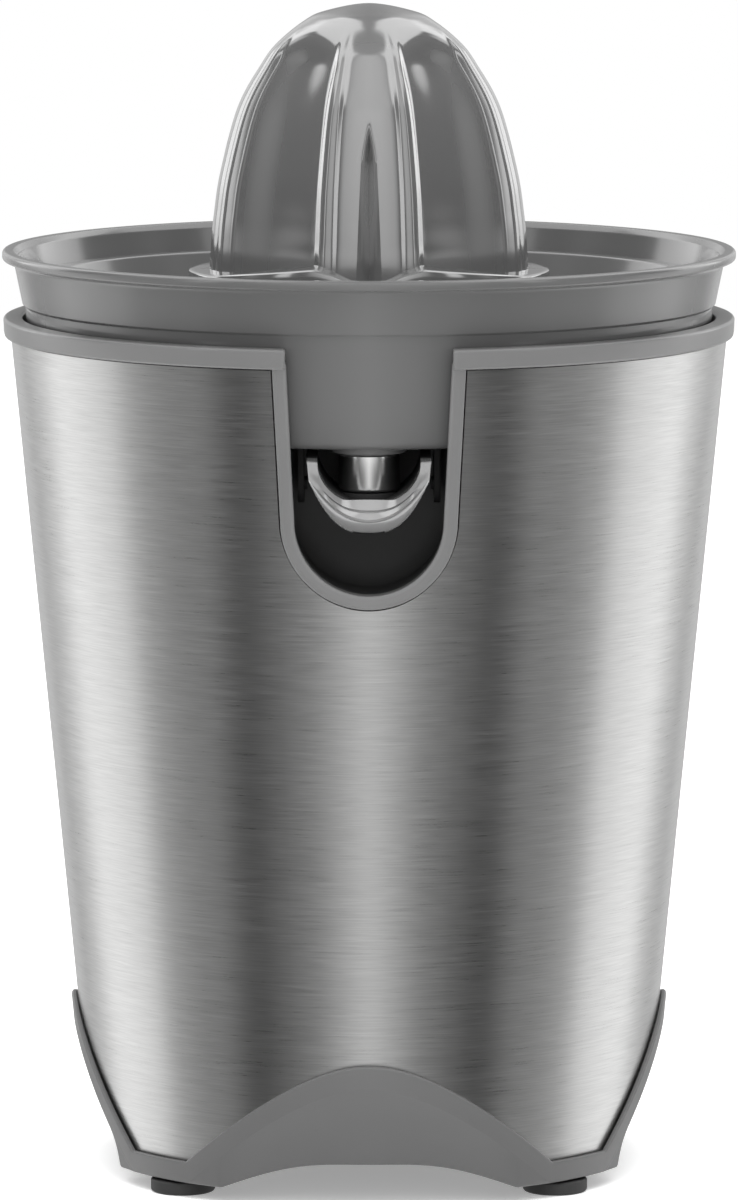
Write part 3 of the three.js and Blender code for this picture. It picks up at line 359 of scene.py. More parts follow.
def gridFaces(rows, columns, closeRows, closeColumns, offset=0):
    faces = []
    for i in range(rows if closeRows else rows - 1):
        for j in range(columns if closeColumns else columns - 1):
            a = i * columns + j
            b = i * columns + (j + 1) % columns
            c = ((i + 1) % rows) * columns + (j + 1) % columns
            d = ((i + 1) % rows) * columns + j
            faces.append((offset + a, offset + b, offset + c, offset + d))
    return faces


def rodFaces(rows, columns):  # a skin round an outline that is repeated along a path, with both ends closed
    sides = gridFaces(rows, columns, False, True)
    return sides + [tuple(range(columns)), tuple(range((rows - 1) * columns, rows * columns))]


def aroundAxis(radius, azimuth, z, centre=(0, 0)):  # azimuth in degrees from the front, towards +X
    turn = radians(azimuth)
    return (centre[0] + radius * sin(turn), centre[1] - radius * cos(turn), z)


def sweptPiece(name, profileAt, azimuths, finish, centre=(0, 0), sharp=32):  # a closed profile taken round
    points = []
    for azimuth in azimuths:
        for r, z, *shift in profileAt(azimuth):
            points.append(aroundAxis(max(r, 0), azimuth + sum(shift), z, centre))
    columns = len(points) // len(azimuths)
    return newPiece(name, points, gridFaces(len(azimuths), columns, True, True), finish, sharp)


def turnedPiece(name, corners, sides, finish, centre=(0, 0), steps=5):
    outline = rounded(corners, steps)
    return sweptPiece(name, lambda azimuth: outline, even(sides), finish, centre)


def postPiece(name, outline, low, high, finish):  # an upright prism
    points = [(x, y, z) for z in (low, high) for x, y in outline]
    return newPiece(name, points, rodFaces(2, len(outline)), finish)


def circle(x, y, radius, count=24):
    turns = [radians(360 / count * k) for k in range(count)]
    return [(x + radius * cos(t), y + radius * sin(t)) for t in turns]


def even(count):
    return [360 * k / count for k in range(count)]


def hand(piece, body, slot, *nodes):  # the piece rides on a body, and stands for the nodes named
    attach(piece, body)
    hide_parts(*nodes)
    return piece


def applied(piece, kind, **settings):  # changes a mesh by one modifier
    change = piece.modifiers.new("shape", kind)
    for key, value in settings.items():
        setattr(change, key, value)
    bpy.context.view_layer.update()
    shaped = piece.evaluated_get(bpy.context.evaluated_depsgraph_get())
    piece.data = bpy.data.meshes.new_from_object(shaped)
    piece.modifiers.remove(change)


def dressed(base, *tools, operation="DIFFERENCE"):  # a mesh cut or joined by others, which are used up
    for tool in tools:
        applied(base, "BOOLEAN", operation=operation, object=tool, solver="EXACT")
        bpy.data.objects.remove(tool)
    tidyMesh(base.data, 32)
    return base


collarSize = dict(top=198.3, bottom=193.7, topRound=0.7, depth=3.1, proudArm=0.95, inner=80.3, outer=84.8,
                  tongue=7.7, tongueWall=1.3, tongueGap=0.35, sink=1.4)
shellSize = dict(topRadius=83.0, topZ=193.7, taper=0.096, wall=0.8, gap=0.32)
archSize = dict(bottom=142.5, half=16.7, halfTop=18.7, frame=3.2)
edgeSize = dict(front=33.8, side=39.5, frontSlope=0.98, sideSlope=1.24, frontRound=17, sideRound=12, leg=8.6)


def shellRadius(z):
    return shellSize["topRadius"] - shellSize["taper"] * (shellSize["topZ"] - z)


def steelEdge(azimuth):  # height of the steel's lower edge
    turn = azimuth % 180
    fromFront = min(turn, 180 - turn)

    def arch(name, off):
        bend = edgeSize[name + "Round"]
        return edgeSize[name] - edgeSize[name + "Slope"] * (hypot(off, bend) - bend)

    return max(edgeSize["leg"], arch("front", fromFront), arch("side", 90 - fromFront))


def archShare(azimuth):  # 0 at a leg and 1 at the middle of an arch
    rise = (steelEdge(azimuth) - edgeSize["leg"]) / (edgeSize["front"] - edgeSize["leg"])
    return sin(clamp((rise - 0.28) / 0.72) * pi / 2)


archCentre = archSize["bottom"] + archSize["half"]
archSplay = (archSize["halfTop"] - archSize["half"]) / (collarSize["top"] - archCentre)


def openingLine(margin, corner, top, count=40):  # right half of the spout's opening, downwards
    centre, splay = archCentre, archSplay
    halfLow = archSize["half"] + margin

    def halfAt(z):
        return halfLow + splay * (z - centre)

    line = []
    for k in range(7):  # the small round at the top corner
        turn = radians(15 * k)
        line.append((halfAt(top) + corner * (1 - sin(turn)), top - corner * (1 - cos(turn))))
    for k in range(1, count):
        z = mix(top - corner, centre, k / count)
        line.append((halfAt(z), z))
    for k in range(count + 1):
        turn = pi / 2 * k / count
        line.append((halfLow * cos(turn), centre - halfLow * sin(turn)))
    return line


def onShell(x, z):  # azimuth, in degrees, of a point of the shell seen at x from the front
    return degrees(asin(clamp(x / shellRadius(z), -1, 1)))


def legCorners():  # azimuths where the steel's lower edge turns a corner
    turns = [k * 0.05 for k in range(0, 1801)]
    flat = [t for t in turns if steelEdge(t) <= edgeSize["leg"] + 1e-6]
    return flat[0], flat[-1]


firstCorner, lastCorner = legCorners()


def edgeAzimuths(step):  # evenly spaced azimuths, with the legs' corners put in
    corners = [turn for t in (firstCorner, lastCorner) for turn in (t, 180 - t, 180 + t, 360 - t)]
    turns = [k * step for k in range(round(360 / step))]
    turns = [t for t in turns if all(abs(t - c) > step * 0.4 for c in corners)]
    return sorted(turns + corners)


def thickened(piece, thickness):  # gives an open skin a wall on its inner side
    applied(piece, "SOLIDIFY", thickness=thickness * mm, offset=-1, use_even_offset=True)
    tidyMesh(piece.data, 32)
    return piece


def extruded(name, outline, near, far, finish, edge=0.0):  # an outline in YZ made solid, with eased edges
    layers = [(near, 0), (far, 0)]
    if edge > 0:
        layers = [(near, edge), (near + edge * 0.3, edge * 0.3), (near + edge, 0)]
        layers += [(far - edge, 0), (far - edge * 0.3, edge * 0.3), (far, edge)]
    count = len(outline)
    middle = Vector((sum(p[0] for p in outline) / count, sum(p[1] for p in outline) / count))
    points = []
    for depth, inset in layers:
        for p in outline:
            here = Vector(p)
            points.append((depth, *(here - (here - middle).normalized() * inset)))
    return newPiece(name, points, rodFaces(len(layers), count), finish)


def joinedPiece(name, *parts):  # several meshes of one material made into one piece
    base = parts[0]
    for part in parts[1:]:
        dressed(base, part, operation="UNION")
    base.name = name
    return base


def makeShell():
    centre, splay = archCentre, archSplay
    radius = archSize["half"] + archSize["frame"] + shellSize["gap"]
    top = collarSize["bottom"] - 0.3
    startTurn = onShell(radius, centre)
    front = [onShell(radius * sin(radians(k)), centre) for k in range(-90, 91, 3)]
    side = [t for t in edgeAzimuths(1.0) if startTurn + 0.4 < t < 360 - startTurn - 0.4]
    points = []
    turns = front + side
    for k in range(15):  # up to the middle of the opening's round bottom
        for t in turns:
            x = shellRadius(centre) * sin(radians(t))
            inOpening = abs(t) < startTurn - 1e-6
            high = centre - sqrt(max(0, radius ** 2 - x ** 2)) if inOpening else centre
            z = mix(steelEdge(t) - 2, high, k / 14)
            points.append(aroundAxis(shellRadius(z), t, z))
    faces = gridFaces(15, len(turns), False, True)
    offset = len(points)
    turns = [startTurn] + side + [360 - startTurn]
    for k in range(11):  # on each side of the opening, up to the collar
        z = mix(centre, top, k / 10)
        shift = onShell(radius + splay * (z - centre), z) - startTurn
        for t in turns:
            share = clamp((60 - min(t, 360 - t)) / (60 - startTurn))
            points.append(aroundAxis(shellRadius(z), t + shift * share * (1 if t < 180 else -1), z))
    faces += gridFaces(11, len(turns), False, False, offset)
    skin = newPiece("steelShell", points, faces, finishes["shell_steel"])
    face = skin.data.polygons[0]
    if face.normal.xy.dot(face.center.xy) < 0:
        skin.data.flip_normals()
    return hand(thickened(skin, shellSize["wall"]), "housing", "shell_steel", "steel_shell")


def makeCollar():
    size = collarSize
    tongueBottom = size["bottom"] - size["tongue"]
    tongueOuter = shellRadius(tongueBottom) - shellSize["wall"] - size["tongueGap"]
    inner, outer = size["inner"], size["outer"]
    corners = [
        (inner, size["top"], size["topRound"]), (outer, size["top"], size["topRound"]),
        (outer - 0.25, size["bottom"], 0.8), (tongueOuter, size["bottom"]), (tongueOuter, tongueBottom),
        (tongueOuter - size["tongueWall"], tongueBottom),
    ]
    outline = rounded(corners, 6)
    middle = ((inner + outer) / 2, (size["top"] + size["bottom"]) / 2)
    endSteps = [(0.0, 0.6), (0.08, 0.3), (0.3, 0.08), (0.6, 0.0)]  # distance from the end, and the inset
    turns = [k / 360 for k in range(1, 360)]
    stations = [(0, along, inset) for along, inset in endSteps] + [(t, 0, 0) for t in turns]
    stations += [(1, -along, inset) for along, inset in reversed(endSteps)]
    points = []
    for share, along, inset in stations:
        for r, z in outline:
            towards = Vector((middle[0] - r, middle[1] - z)).normalized() * inset
            radius, height = r + towards.x, z + towards.y
            endX = archSize["halfTop"] + 0.02 + abs(along)
            first = degrees(asin(endX / radius))
            turn = mix(first, 360 - first, share)
            points.append(aroundAxis(radius, turn, height))
    plastic = finishes["grey_plastic"]
    ring = newPiece("collarRing", points, rodFaces(len(stations), len(outline)), plastic)

    wide, proud = archSize["frame"], size["proudArm"]
    section = rounded([(0, proud - 0.2, 0.4), (wide * 0.25, proud, 1.0), (wide * 0.7, proud, 1.0),
                       (wide, proud - 0.35, 0.4), (wide, -size["depth"]), (0, -size["depth"])], 5)
    half = openingLine(0, 0.01, size["bottom"] + size["sink"])
    path = half + [(-x, z) for x, z in reversed(half[:-1])]
    path = path[:1] + [b for a, b in zip(path, path[1:]) if hypot(b[0] - a[0], b[1] - a[1]) > 0.05]
    points = []
    for k, (x, z) in enumerate(path):
        before, after = path[max(k - 1, 0)], path[min(k + 1, len(path) - 1)]
        along = Vector((after[0] - before[0], after[1] - before[1])).normalized()
        outward = Vector((-along.y, along.x))
        for across, depth in section:
            px, pz = x + outward.x * across, z + outward.y * across
            radius = shellRadius(pz) + depth
            points.append((px, -sqrt(radius ** 2 - px ** 2), pz))
    frameArms = newPiece("openingFrame", points, rodFaces(len(path), len(section)), plastic)
    return hand(joinedPiece("collarFrame", ring, frameArms), "housing", "grey_plastic", "collar_frame")


recessSize = dict(step=1.1, wall=1.5, back=48.0, top=172.4, round=4.0)


def makeRecess():
    size = recessSize
    skins = []
    for wall in (0, size["wall"]):  # the inside of the liner, then the outside
        margin, back, corner = size["step"] + wall, size["back"] - wall, size["round"] + wall
        half = openingLine(margin, 0.01, size["top"], 24)
        line = half + [(-x, z) for x, z in reversed(half[:-1])]
        grid = []
        for k in range(15):  # from the frame to the back
            row = []
            for x, z in line:
                front = sqrt((shellRadius(z) - archSize["frame"] - 0.35) ** 2 - x ** 2)
                row.append((x, -mix(front, back + corner, k / 14), z))
            grid.append(row)
        reach = archSize["half"] + margin
        for k in range(1, 7):  # the round into the back wall
            turn = radians(15 * k)
            share = 1 - corner * (1 - cos(turn)) / reach
            y = -(back + corner * (1 - sin(turn)))
            grid.append([(x * share, y, size["top"] - (size["top"] - z) * share) for x, z in line])
        last = 1 - corner / reach
        for k in range(1, 7):
            share = last * (1 - k / 6.5)
            grid.append([(x * share, -back, size["top"] - (size["top"] - z) * share) for x, z in line])
        grid.append([(0, -back, size["top"])] * len(line))  # the back wall closes on its middle
        skins.append(grid)
    # painted light: the liner takes the lightened copy of the black plastic
    liner = walled("recessLiner", *skins, recessPaintedLightPlastic)
    return hand(liner, "housing", "black_plastic", "spout_recess")


def walled(name, near, far, finish, sharp=32):  # a wall between two open grids of points of the same size
    rows, columns = len(near), len(near[0])
    size = rows * columns
    points = [p for row in near for p in row] + [p for row in far for p in row]
    faces = gridFaces(rows, columns, False, False) + gridFaces(rows, columns, False, False, size)
    rim = [(0, j) for j in range(columns)] + [(i, columns - 1) for i in range(1, rows)]
    rim += [(rows - 1, j) for j in range(columns - 2, -1, -1)] + [(i, 0) for i in range(rows - 2, 0, -1)]
    for k, (i, j) in enumerate(rim):
        m, n = rim[(k + 1) % len(rim)]
        a, b = i * columns + j, m * columns + n
        faces.append((a, b, b + size, a + size))
    return newPiece(name, points, faces, finish, sharp)


def turnedBack(piece, height):  # from standing on the axis to pointing out at the back
    for vertex in piece.data.vertices:
        x, y, z = vertex.co
        vertex.co = (x, z, height * mm - y)
    tidyMesh(piece.data, 32)
    return piece


skirtSize = dict(proud=1.5, band=5.4, lap=2.0, wall=3.4, legBottom=3.4, legRadius=65.6, rise=6.0, tuck=5.6,
                 flangeTop=14.8, flangeBottom=12.6, flangeInner=44.0, bow=0.9, edgeRound=0.55,
                 creaseRound=0.3, pillar=4, pilot=1.4, pillarAt=(47, 14), bossRadius=7.4, bossBore=4.9,
                 bossIn=9.4, bossOut=2.8)


def makeSkirt():
    size = skirtSize

    def profileAt(azimuth):
        edge = steelEdge(azimuth)
        slot = edge - size["lap"] - 0.3
        band = max(edge - size["band"], size["legBottom"] + 0.3)
        share = archShare(azimuth)
        lowRadius = size["legRadius"] - size["tuck"] * share
        low = size["legBottom"] + size["rise"] * share
        shellInside = shellRadius(size["flangeTop"]) - shellSize["wall"] - 0.7
        inside = mix(shellInside, size["legRadius"] - size["tuck"], share)
        bandRadius = shellRadius(band) + size["proud"]
        scoop = []
        for k in range(1, 6):  # the scoop under the band is a little hollow
            t = k / 6
            bow = size["bow"] * share * sin(pi * t)
            scoop.append((mix(lowRadius, bandRadius, t) - bow, mix(low, band, t) + bow * 0.4))
        corners = [
            (bandRadius, band, size["creaseRound"] if band > low + 1 else 0.02),
            (shellRadius(edge) + size["proud"], edge, size["edgeRound"]),
            (shellRadius(edge) + 0.35, edge, 0.2),
            (shellRadius(slot) + 0.35, slot, 0.02),
            (shellRadius(slot) - 1.15, slot, 0.02),
            (inside, size["flangeTop"], 0.02),
            (size["flangeInner"], size["flangeTop"], 0.3),
            (size["flangeInner"], size["flangeBottom"], 0.3),
            (lowRadius - size["wall"], size["flangeBottom"], 0.02),
            (lowRadius - size["wall"], low, 0.5),
            (lowRadius, low, 0.5),
        ]
        return rounded(corners, 4) + scoop

    skirt = sweptPiece("baseSkirt", profileAt, edgeAzimuths(0.5), skirtPlastic, sharp=25)
    fittings = []
    foot, reach = size["flangeBottom"] + 0.4, boxMm("gearbox_plate")[0].z - 0.3
    pilot, radius = size["pilot"], size["pillar"]
    corners = [(pilot, foot), (radius, foot), (radius, reach, 0.4), (pilot, reach, 0.2)]
    across, along = size["pillarAt"]
    for x, y in ((across, along), (-across, along), (across, -along), (-across, -along)):
        fittings.append(turnedPiece("pillar", corners, 32, skirtPlastic, (x, y)))
    low, high = boxMm("cord_gland")
    near, far = high.y - size["bossIn"], high.y - size["bossOut"]
    bore, radius = size["bossBore"], size["bossRadius"]
    corners = [(bore, near), (radius, near), (radius, far, 0.8), (bore, far, 0.2)]
    fittings.append(turnedBack(turnedPiece("cordBoss", corners, 72, skirtPlastic), (low.z + high.z) / 2))
    return hand(joinedPiece("baseSkirt", skirt, *fittings), "housing", "grey_plastic", "base_skirt")


footSize = dict(high=3.0, stem=2.0, tread=[(0, 0.35), (1.6, 0.35), (2.0, 0.0), (3.2, 0.0), (3.6, 0.35),
                                           (4.6, 0.35), (5.0, 0.0)])


def makeFeet():
    top, stem = footSize["high"], footSize["stem"]
    for name in ("foot_front_left", "foot_front_right", "foot_rear_left", "foot_rear_right"):
        low, high = boxMm(name)
        centre = ((low.x + high.x) / 2, (low.y + high.y) / 2)
        radius = (high.x - low.x) / 2
        corners = footSize["tread"] + [(radius, 0, 0.7), (radius, top, 0.5), (stem, top, 0.2),
                                       (stem, high.z, 0.5), (0, high.z)]
        foot = turnedPiece("rubber" + name.title().replace("_", ""), corners, 64, finishes["rubber"], centre)
        hand(foot, "housing", "rubber", name)


glandSize = dict(bore=3.0, body=4.6, flange=2.5)


def makeGland():
    low, high = boxMm("cord_gland")
    height = (low.z + high.z) / 2
    inside, outside, flange = low.y, high.y, (high.x - low.x) / 2
    bore, body = glandSize["bore"], glandSize["body"]
    seat, face = outside - glandSize["flange"] + 0.02, outside - 0.02
    corners = [(bore, inside, 0.4), (body, inside, 0.4), (body, seat, 0.02), (flange, seat, 0.3),
               (flange - 0.9, face, 0.8), (bore + 1.2, face, 0.3), (bore + 0.6, outside - 0.9, 0.3),
               (bore, outside - 1.2, 0.3)]
    gland = turnedBack(turnedPiece("cordGland", corners, 72, finishes["rubber"]), height)
    return hand(gland, "housing", "rubber", "cord_gland")


shaftSealBore = 5.8


def makeShaftSeal():
    low, high = boxMm("shaft_seal")
    outer, bore = (high.x - low.x) / 2, shaftSealBore
    corners = [(bore, low.z, 0.1), (outer, low.z, 0.4), (outer - 0.1, low.z + 1.1, 0.2),
               (outer - 0.9, low.z + 1.5, 0.2), (outer - 0.8, high.z, 0.5), (bore, high.z, 0.5)]
    seal = turnedPiece("shaftSeal", corners, 72, finishes["rubber"])
    return hand(seal, "housing", "rubber", "shaft_seal")


makeShell()
makeCollar()
makeRecess()
makeSkirt()
makeFeet()
makeGland()
makeShaftSeal()
print("housing made")


bowlSize = dict(rim=85.0, top=213.8, lip=2.3, mouth=80.0, ledge=205.9, wall=2.2, bottom=77.4, skirt=79.6,
                floor=178.6, tilt=0.046, chimneyBore=8.7, chimney=10.9, chimneyTop=205.0, nozzleAt=66.0,
                bossRadius=8.9, bossBottom=173.7, bossFlare=11.3, outlet=5.6, pinAt=56.0, pinHeight=165.6,
                pinRadius=1.5, pinGap=0.3, earIn=14.6, earOut=16.1, earHalf=4.5)

# painted shade: a near-black material that stands in for the shade behind and inside the spout
paintedShadePlastic = moulded("paintedShadePlastic", paintedShadeLook)


def floorAt(radius, azimuth):
    return bowlSize["floor"] - bowlSize["tilt"] * radius * cos(radians(azimuth))


def makeBowl():
    size = bowlSize
    collar = collarSize["top"]

    def profileAt(azimuth):
        corner = floorAt(size["bottom"], azimuth)
        middle = floorAt(size["chimney"], azimuth)
        under = size["top"] - size["lip"]
        return rounded([
            (size["chimneyBore"], middle, 0.5),
            (size["bottom"], corner, 2.0),
            (size["skirt"], collar - 0.3, 0.4),
            (size["skirt"] + 0.05, collar + 2.6, 0.25),
            (size["skirt"] + 0.75, collar + 3.1, 0.35),
            (size["rim"] - 2.6, under, 1.6),
            (size["rim"], under, 0.75),
            (size["rim"], size["top"], 0.85),
            (size["rim"] - 2.5, size["top"], 0.7),
            (size["mouth"] + 1.35, size["top"] - 1.3, 0.8),
            (size["mouth"], size["ledge"], 0.25),
            (size["bottom"], size["ledge"], 0.3),
            (size["bottom"] - size["wall"], corner + size["wall"], 2.5),
            (size["chimney"], middle + size["wall"], 1.5),
            (size["chimney"], size["chimneyTop"], 0.6),
            (size["chimneyBore"], size["chimneyTop"], 0.4),
        ], 5)

    plastic = finishes["bowl_plastic"]
    bowl = sweptPiece("juiceBowl", profileAt, even(360), plastic)
    radius, low, flare, floor = size["bossRadius"], size["bossBottom"], size["bossFlare"], size["floor"]
    underNozzle = (0, -size["nozzleAt"])
    boss = turnedPiece("outletBoss", [
        (0, low), (radius, low, 0.7), (radius + 0.3, low + 1.6, 1.6), (flare, floor - 2.6, 0.8),
        (flare, floor - 1.2), (0, floor - 1.2)], 96, plastic, underNozzle)
    joinedPiece("juiceBowl", bowl, boss)
    ears = []
    for side in (-1, 1):
        near, far = sorted((side * size["earIn"], side * size["earOut"]))
        back, front = size["pinAt"] - size["earHalf"], size["pinAt"] + size["earHalf"]
        low, half = size["pinHeight"] - size["earHalf"], size["earHalf"]
        ear = rounded([(-front, floor - 3.2), (-back, floor - 3.2), (-back, low, half - 0.2),
                       (-front, low, half - 0.2)], 10)
        ears.append(extruded("spoutEar", ear, near, far, finishes["black_plastic"], 0.25))
    pin = circle(-size["pinAt"], size["pinHeight"], size["pinRadius"] + size["pinGap"])
    hole = extruded("pinHole", pin, -20, 20, plastic)
    bore, low, high = size["outlet"], 160, floor + 3
    corners = [(0, low), (bore, low), (bore, high), (0, high)]
    outlet = turnedPiece("outletHole", corners, 48, plastic, underNozzle)
    dressed(bowl, outlet)
    hangers = joinedPiece("spoutHangers", *ears)
    dressed(hangers, hole)
    # painted shade: the ears are part of the bowl, but they take the near-black material so that they read as shade
    hangers.data.materials.clear()
    hangers.data.materials.append(paintedShadePlastic)
    hand(hangers, "bowl", "black_plastic", "juice_bowl")
    return hand(bowl, "bowl", "bowl_plastic", "juice_bowl")


nozzleLook = dict(tint=(0.8, 0.8, 0.795), vary=0.03, rough=0.2, roughVary=0.06,
                  cloud=80, grain=900, stretch=1, depth=0.002)


nozzleSize = dict(bore=4.3, neck=5.3)


def makeNozzle():
    low, high = boxMm("outlet_nozzle")
    outer, bore, neck = (high.x - low.x) / 2, nozzleSize["bore"], nozzleSize["neck"]
    shoulder = bowlSize["bossBottom"] - 0.3
    corners = [(bore, low.z, 0.3), (outer, low.z, 0.6), (outer, shoulder, 0.3), (neck, shoulder, 0.1),
               (neck, high.z, 0.3), (bore, high.z, 0.3)]
    steel = metal("nozzleSteel", nozzleLook)
    nozzle = turnedPiece("outletNozzle", corners, 128, steel, (0, -bowlSize["nozzleAt"]))
    return hand(nozzle, "bowl", "bright_metal", "outlet_nozzle")


spoutSize = dict(half=13.9, top=173.4, deep=17.2, wall=2.35, back=53.0, front=83.8, lean=0.13, power=2.65,
                 floor=163.0, crest=164.5, innerDrop=10.2, armDrop=3.3, grooveDeep=0.45,
                 firstGroove=(11.2, 11.56, 6.2, 2.57), secondGroove=(13.3, 13.5, 9.3, 2.05),
                 # share of the way across the lip's face, and how far back the face is there
                 bands=[(0.0, 3.4), (0.333, 1.5), (0.667, 0.0), (0.72, 0.15), (0.85, 2.0), (1.0, 5.0)],
                 # the last entry is how far back the faces start that are painted dark, as shade inside the trough
                 paintedShadeBehind=77.6)
spoutLook = dict(level=0.36, vary=0.04, metallic=0.5, rough=0.2, roughVary=0.08, coat=0.5, flow=50,
                 grain=2400, grainDepth=0.004)


def makeSpout():
    size = spoutSize
    plastic = moulded("spoutPlastic", spoutLook)
    steps = 48
    top, half = size["top"], size["half"]
    innerHalf = half - size["wall"]

    def lineAt(k, wide, drop, rise, power):  # right to left: drop in the middle, less by rise at the ends
        x = cos(pi * k / steps)
        return x * wide, top - (drop - rise * abs(x) ** power)

    def outerPoint(k):
        drop = size["deep"] - size["armDrop"]
        x, z = lineAt(k, half, drop, drop, size["power"])
        return x, z - size["armDrop"] * smooth(1.0, 0.965, abs(x) / half)

    def innerPoint(k, floor):
        x = cos(pi * k / steps)
        return x * innerHalf, max(floor, top - size["innerDrop"] * sqrt(max(0, 1 - x * x)))

    def faceLine(k, share):  # across the face of the lip, by way of the two grooves
        lines = [innerPoint(k, size["crest"]), lineAt(k, *size["firstGroove"]),
                 lineAt(k, *size["secondGroove"]), outerPoint(k)]
        across = clamp(share) * 3
        first = min(int(across), 2)
        (x0, z0), (x1, z1) = lines[first], lines[first + 1]
        return mix(x0, x1, across - first), mix(z0, z1, across - first)

    def middleShare(k):  # 1 in the middle of the lip and 0 in its arms
        return sin(pi * k / steps) ** 2

    def leanAt(z):
        return size["front"] - size["lean"] * (top - z)

    def facePoint(k, share, sink):
        x, z = faceLine(k, share)
        middle = middleShare(k)
        back = between(size["bands"], share)
        return x, -(leanAt(z) - back * middle - sink * smooth(0.05, 0.4, middle)), z

    stations = []
    innerBack = size["back"] + size["wall"]
    for step in range(10):  # along the floor, up to the crest of the lip
        share = step / 9
        floor = mix(size["floor"], size["crest"], smooth(0.75, 1.0, share))
        row = []
        for k in range(steps + 1):
            x, z = innerPoint(k, floor)
            crest = facePoint(k, 0, 0)
            row.append((x, mix(-innerBack, crest[1] + 0.35, share), z - (0.12 if step == 9 else 0)))
        stations.append(row)
    deep = size["grooveDeep"]
    face = [(0.02, 0.0), (0.17, 0.0)]
    for groove in (1 / 3, 2 / 3):
        face += [(groove + offset, sink) for offset, sink in
                 ((-0.045, 0.0), (-0.02, deep * 0.4), (0.0, deep), (0.03, deep), (0.045, 0.05), (0.07, 0.0))]
    face += [(0.85, 0.0), (0.95, 0.0), (0.985, 0.12)]
    for share, sink in face:
        stations.append([facePoint(k, share, sink) for k in range(steps + 1)])
    for step in range(10):
        share = step / 9
        row = []
        for k in range(steps + 1):
            x, z = outerPoint(k)
            lip = facePoint(k, 1, 0)
            row.append((x, mix(lip[1] + 0.35, -size["back"], share), z + (0.08 if step == 0 else 0)))
        stations.append(row)
    points = [p for row in stations for p in row]
    rows, columns = len(stations), steps + 1
    faces = gridFaces(rows, columns, False, False)
    for side in (0, columns - 1):  # the tops of the walls
        for i in range((rows - 1) // 2):
            j = rows - 1 - i
            if j - 1 > i:
                faces.append(tuple(row * columns + side for row in (i, i + 1, j - 1, j)))
    for k in range(steps):  # inside and outside of the back wall
        if k < steps - 1 - k:
            m = steps - 1 - k
            faces.append((k, k + 1, m, m + 1))
            last = (rows - 1) * columns
            faces.append((last + k, last + k + 1, last + m, last + m + 1))
    faces.append((0, steps, (rows - 1) * columns + steps, (rows - 1) * columns))
    spout = newPiece("dripSpout", points, faces, plastic, 28)
    spout.data.materials.append(paintedShadePlastic)
    for face in spout.data.polygons:  # painted shade: faces behind the lip take the near-black material, for the shade inside the trough; only the lip is pale
        face.material_index = 1 if face.center.y > -size["paintedShadeBehind"] * mm else 0
    pins = []
    pin = circle(-bowlSize["pinAt"], bowlSize["pinHeight"], bowlSize["pinRadius"])
    for side in (-1, 1):
        near, far = sorted((side * (half + 0.02), side * bowlSize["earOut"]))
        # painted shade: the pins take the near-black material so that they read as shade
        pins.append(extruded("spoutPin", pin, near, far, paintedShadePlastic, 0.15))
    hand(joinedPiece("spoutPins", *pins), "spout", "black_plastic", "drip_spout")
    return hand(spout, "spout", "bowl_plastic", "drip_spout")


def makeSpoutSeal():
    low, high = boxMm("spout_seal")
    outer = (high.x - low.x) / 2
    corners = [(0, low.z), (outer, low.z, 0.3), (outer, high.z, 0.3), (outer - 1.4, high.z, 0.1),
               (outer - 1.8, high.z - 0.4, 0.1), (0, high.z - 0.4)]
    seal = turnedPiece("spoutSeal", corners, 96, finishes["rubber"], (0, -bowlSize["nozzleAt"]))
    return hand(seal, "spout", "rubber", "spout_seal")


strainerSize = dict(wall=76.7, floor=196.6, thick=1.2, slotIn=46.0, slotOut=70.0, slots=16, slotWide=1.8,
                    hub=37.0, hubTop=203.4, bore=11.6)


def makeStrainer():
    size = strainerSize
    low, high = boxMm("pulp_strainer")
    rim, thick = (high.x - low.x) / 2, size["thick"]
    wall, floor, slotIn, slotOut = size["wall"], size["floor"], size["slotIn"], size["slotOut"]
    hub, hubTop, bore = size["hub"], size["hubTop"], size["bore"]
    corners = [
        (wall, high.z - thick, 0.4), (rim, high.z - thick, 0.3), (rim, high.z, 0.4),
        (wall - thick, high.z, 0.8),
        (slotOut + 2, floor + thick, 2.0), (slotIn - 2, floor + thick, 2.0),
        (hub, hubTop, 1.5), (bore, hubTop, 0.4), (bore, hubTop - thick), (hub - 0.5, hubTop - thick, 1.0),
        (slotIn - 2.5, floor, 1.5), (slotOut + 2.5, floor, 1.5),
    ]
    strainer = turnedPiece("pulpStrainer", corners, 240, finishes["bowl_plastic"])
    half = size["slotWide"] / 2
    for k in range(size["slots"]):
        turn = radians((k + 0.5) * 360 / size["slots"])
        outline = []
        for end, side in ((slotOut - half, 0), (slotIn + half, 180)):
            for step in range(9):
                a = radians(side - 90 + step * 22.5)
                u, v = end + half * cos(a), half * sin(a)
                outline.append((u * cos(turn) - v * sin(turn), u * sin(turn) + v * cos(turn)))
        tool = postPiece("slotTool", outline, floor - 2, floor + thick + 2, finishes["bowl_plastic"])
        dressed(strainer, tool)
    return hand(strainer, "strainer", "bowl_plastic", "pulp_strainer")


coneSize = dict(
    top=270.6, radius=37.0, under=207.2, flange=2.2, side=41.9, waist=39.5, ramp=3.4, rampAt=20.0,
    rampEnd=62.0,
    # share of the way up, and share of the full radius there
    sides=[(0.1, 0.99), (0.21, 0.972), (0.37, 0.93), (0.61, 0.82), (0.77, 0.674), (0.85, 0.575), (0.93, 0.415),
           (0.97, 0.28)],
    # degrees from the middle of a cluster of ribs, and depth there
    ribs=[(4.6, 0.0), (11.3, 0.15), (13.7, 0.55), (16.3, 0.45), (18.2, 0.75), (21.6, 2.8)],
    flank=6.1, grooveAt=[(0, 2.2), (3.2, 0.55), (4.6, 0.0)], grooveTop=0.6, closing=0.66,
    fadeFrom=0.78, fadeTo=0.93,
    # the hollow underneath, the boss round the shaft, and the room for the bowl's chimney
    boss=8.7, hollow=28.4, roof=243.6, shaftTop=240.0, hexagon=9.2, chimney=11.6, chimneyTop=208.9,
)


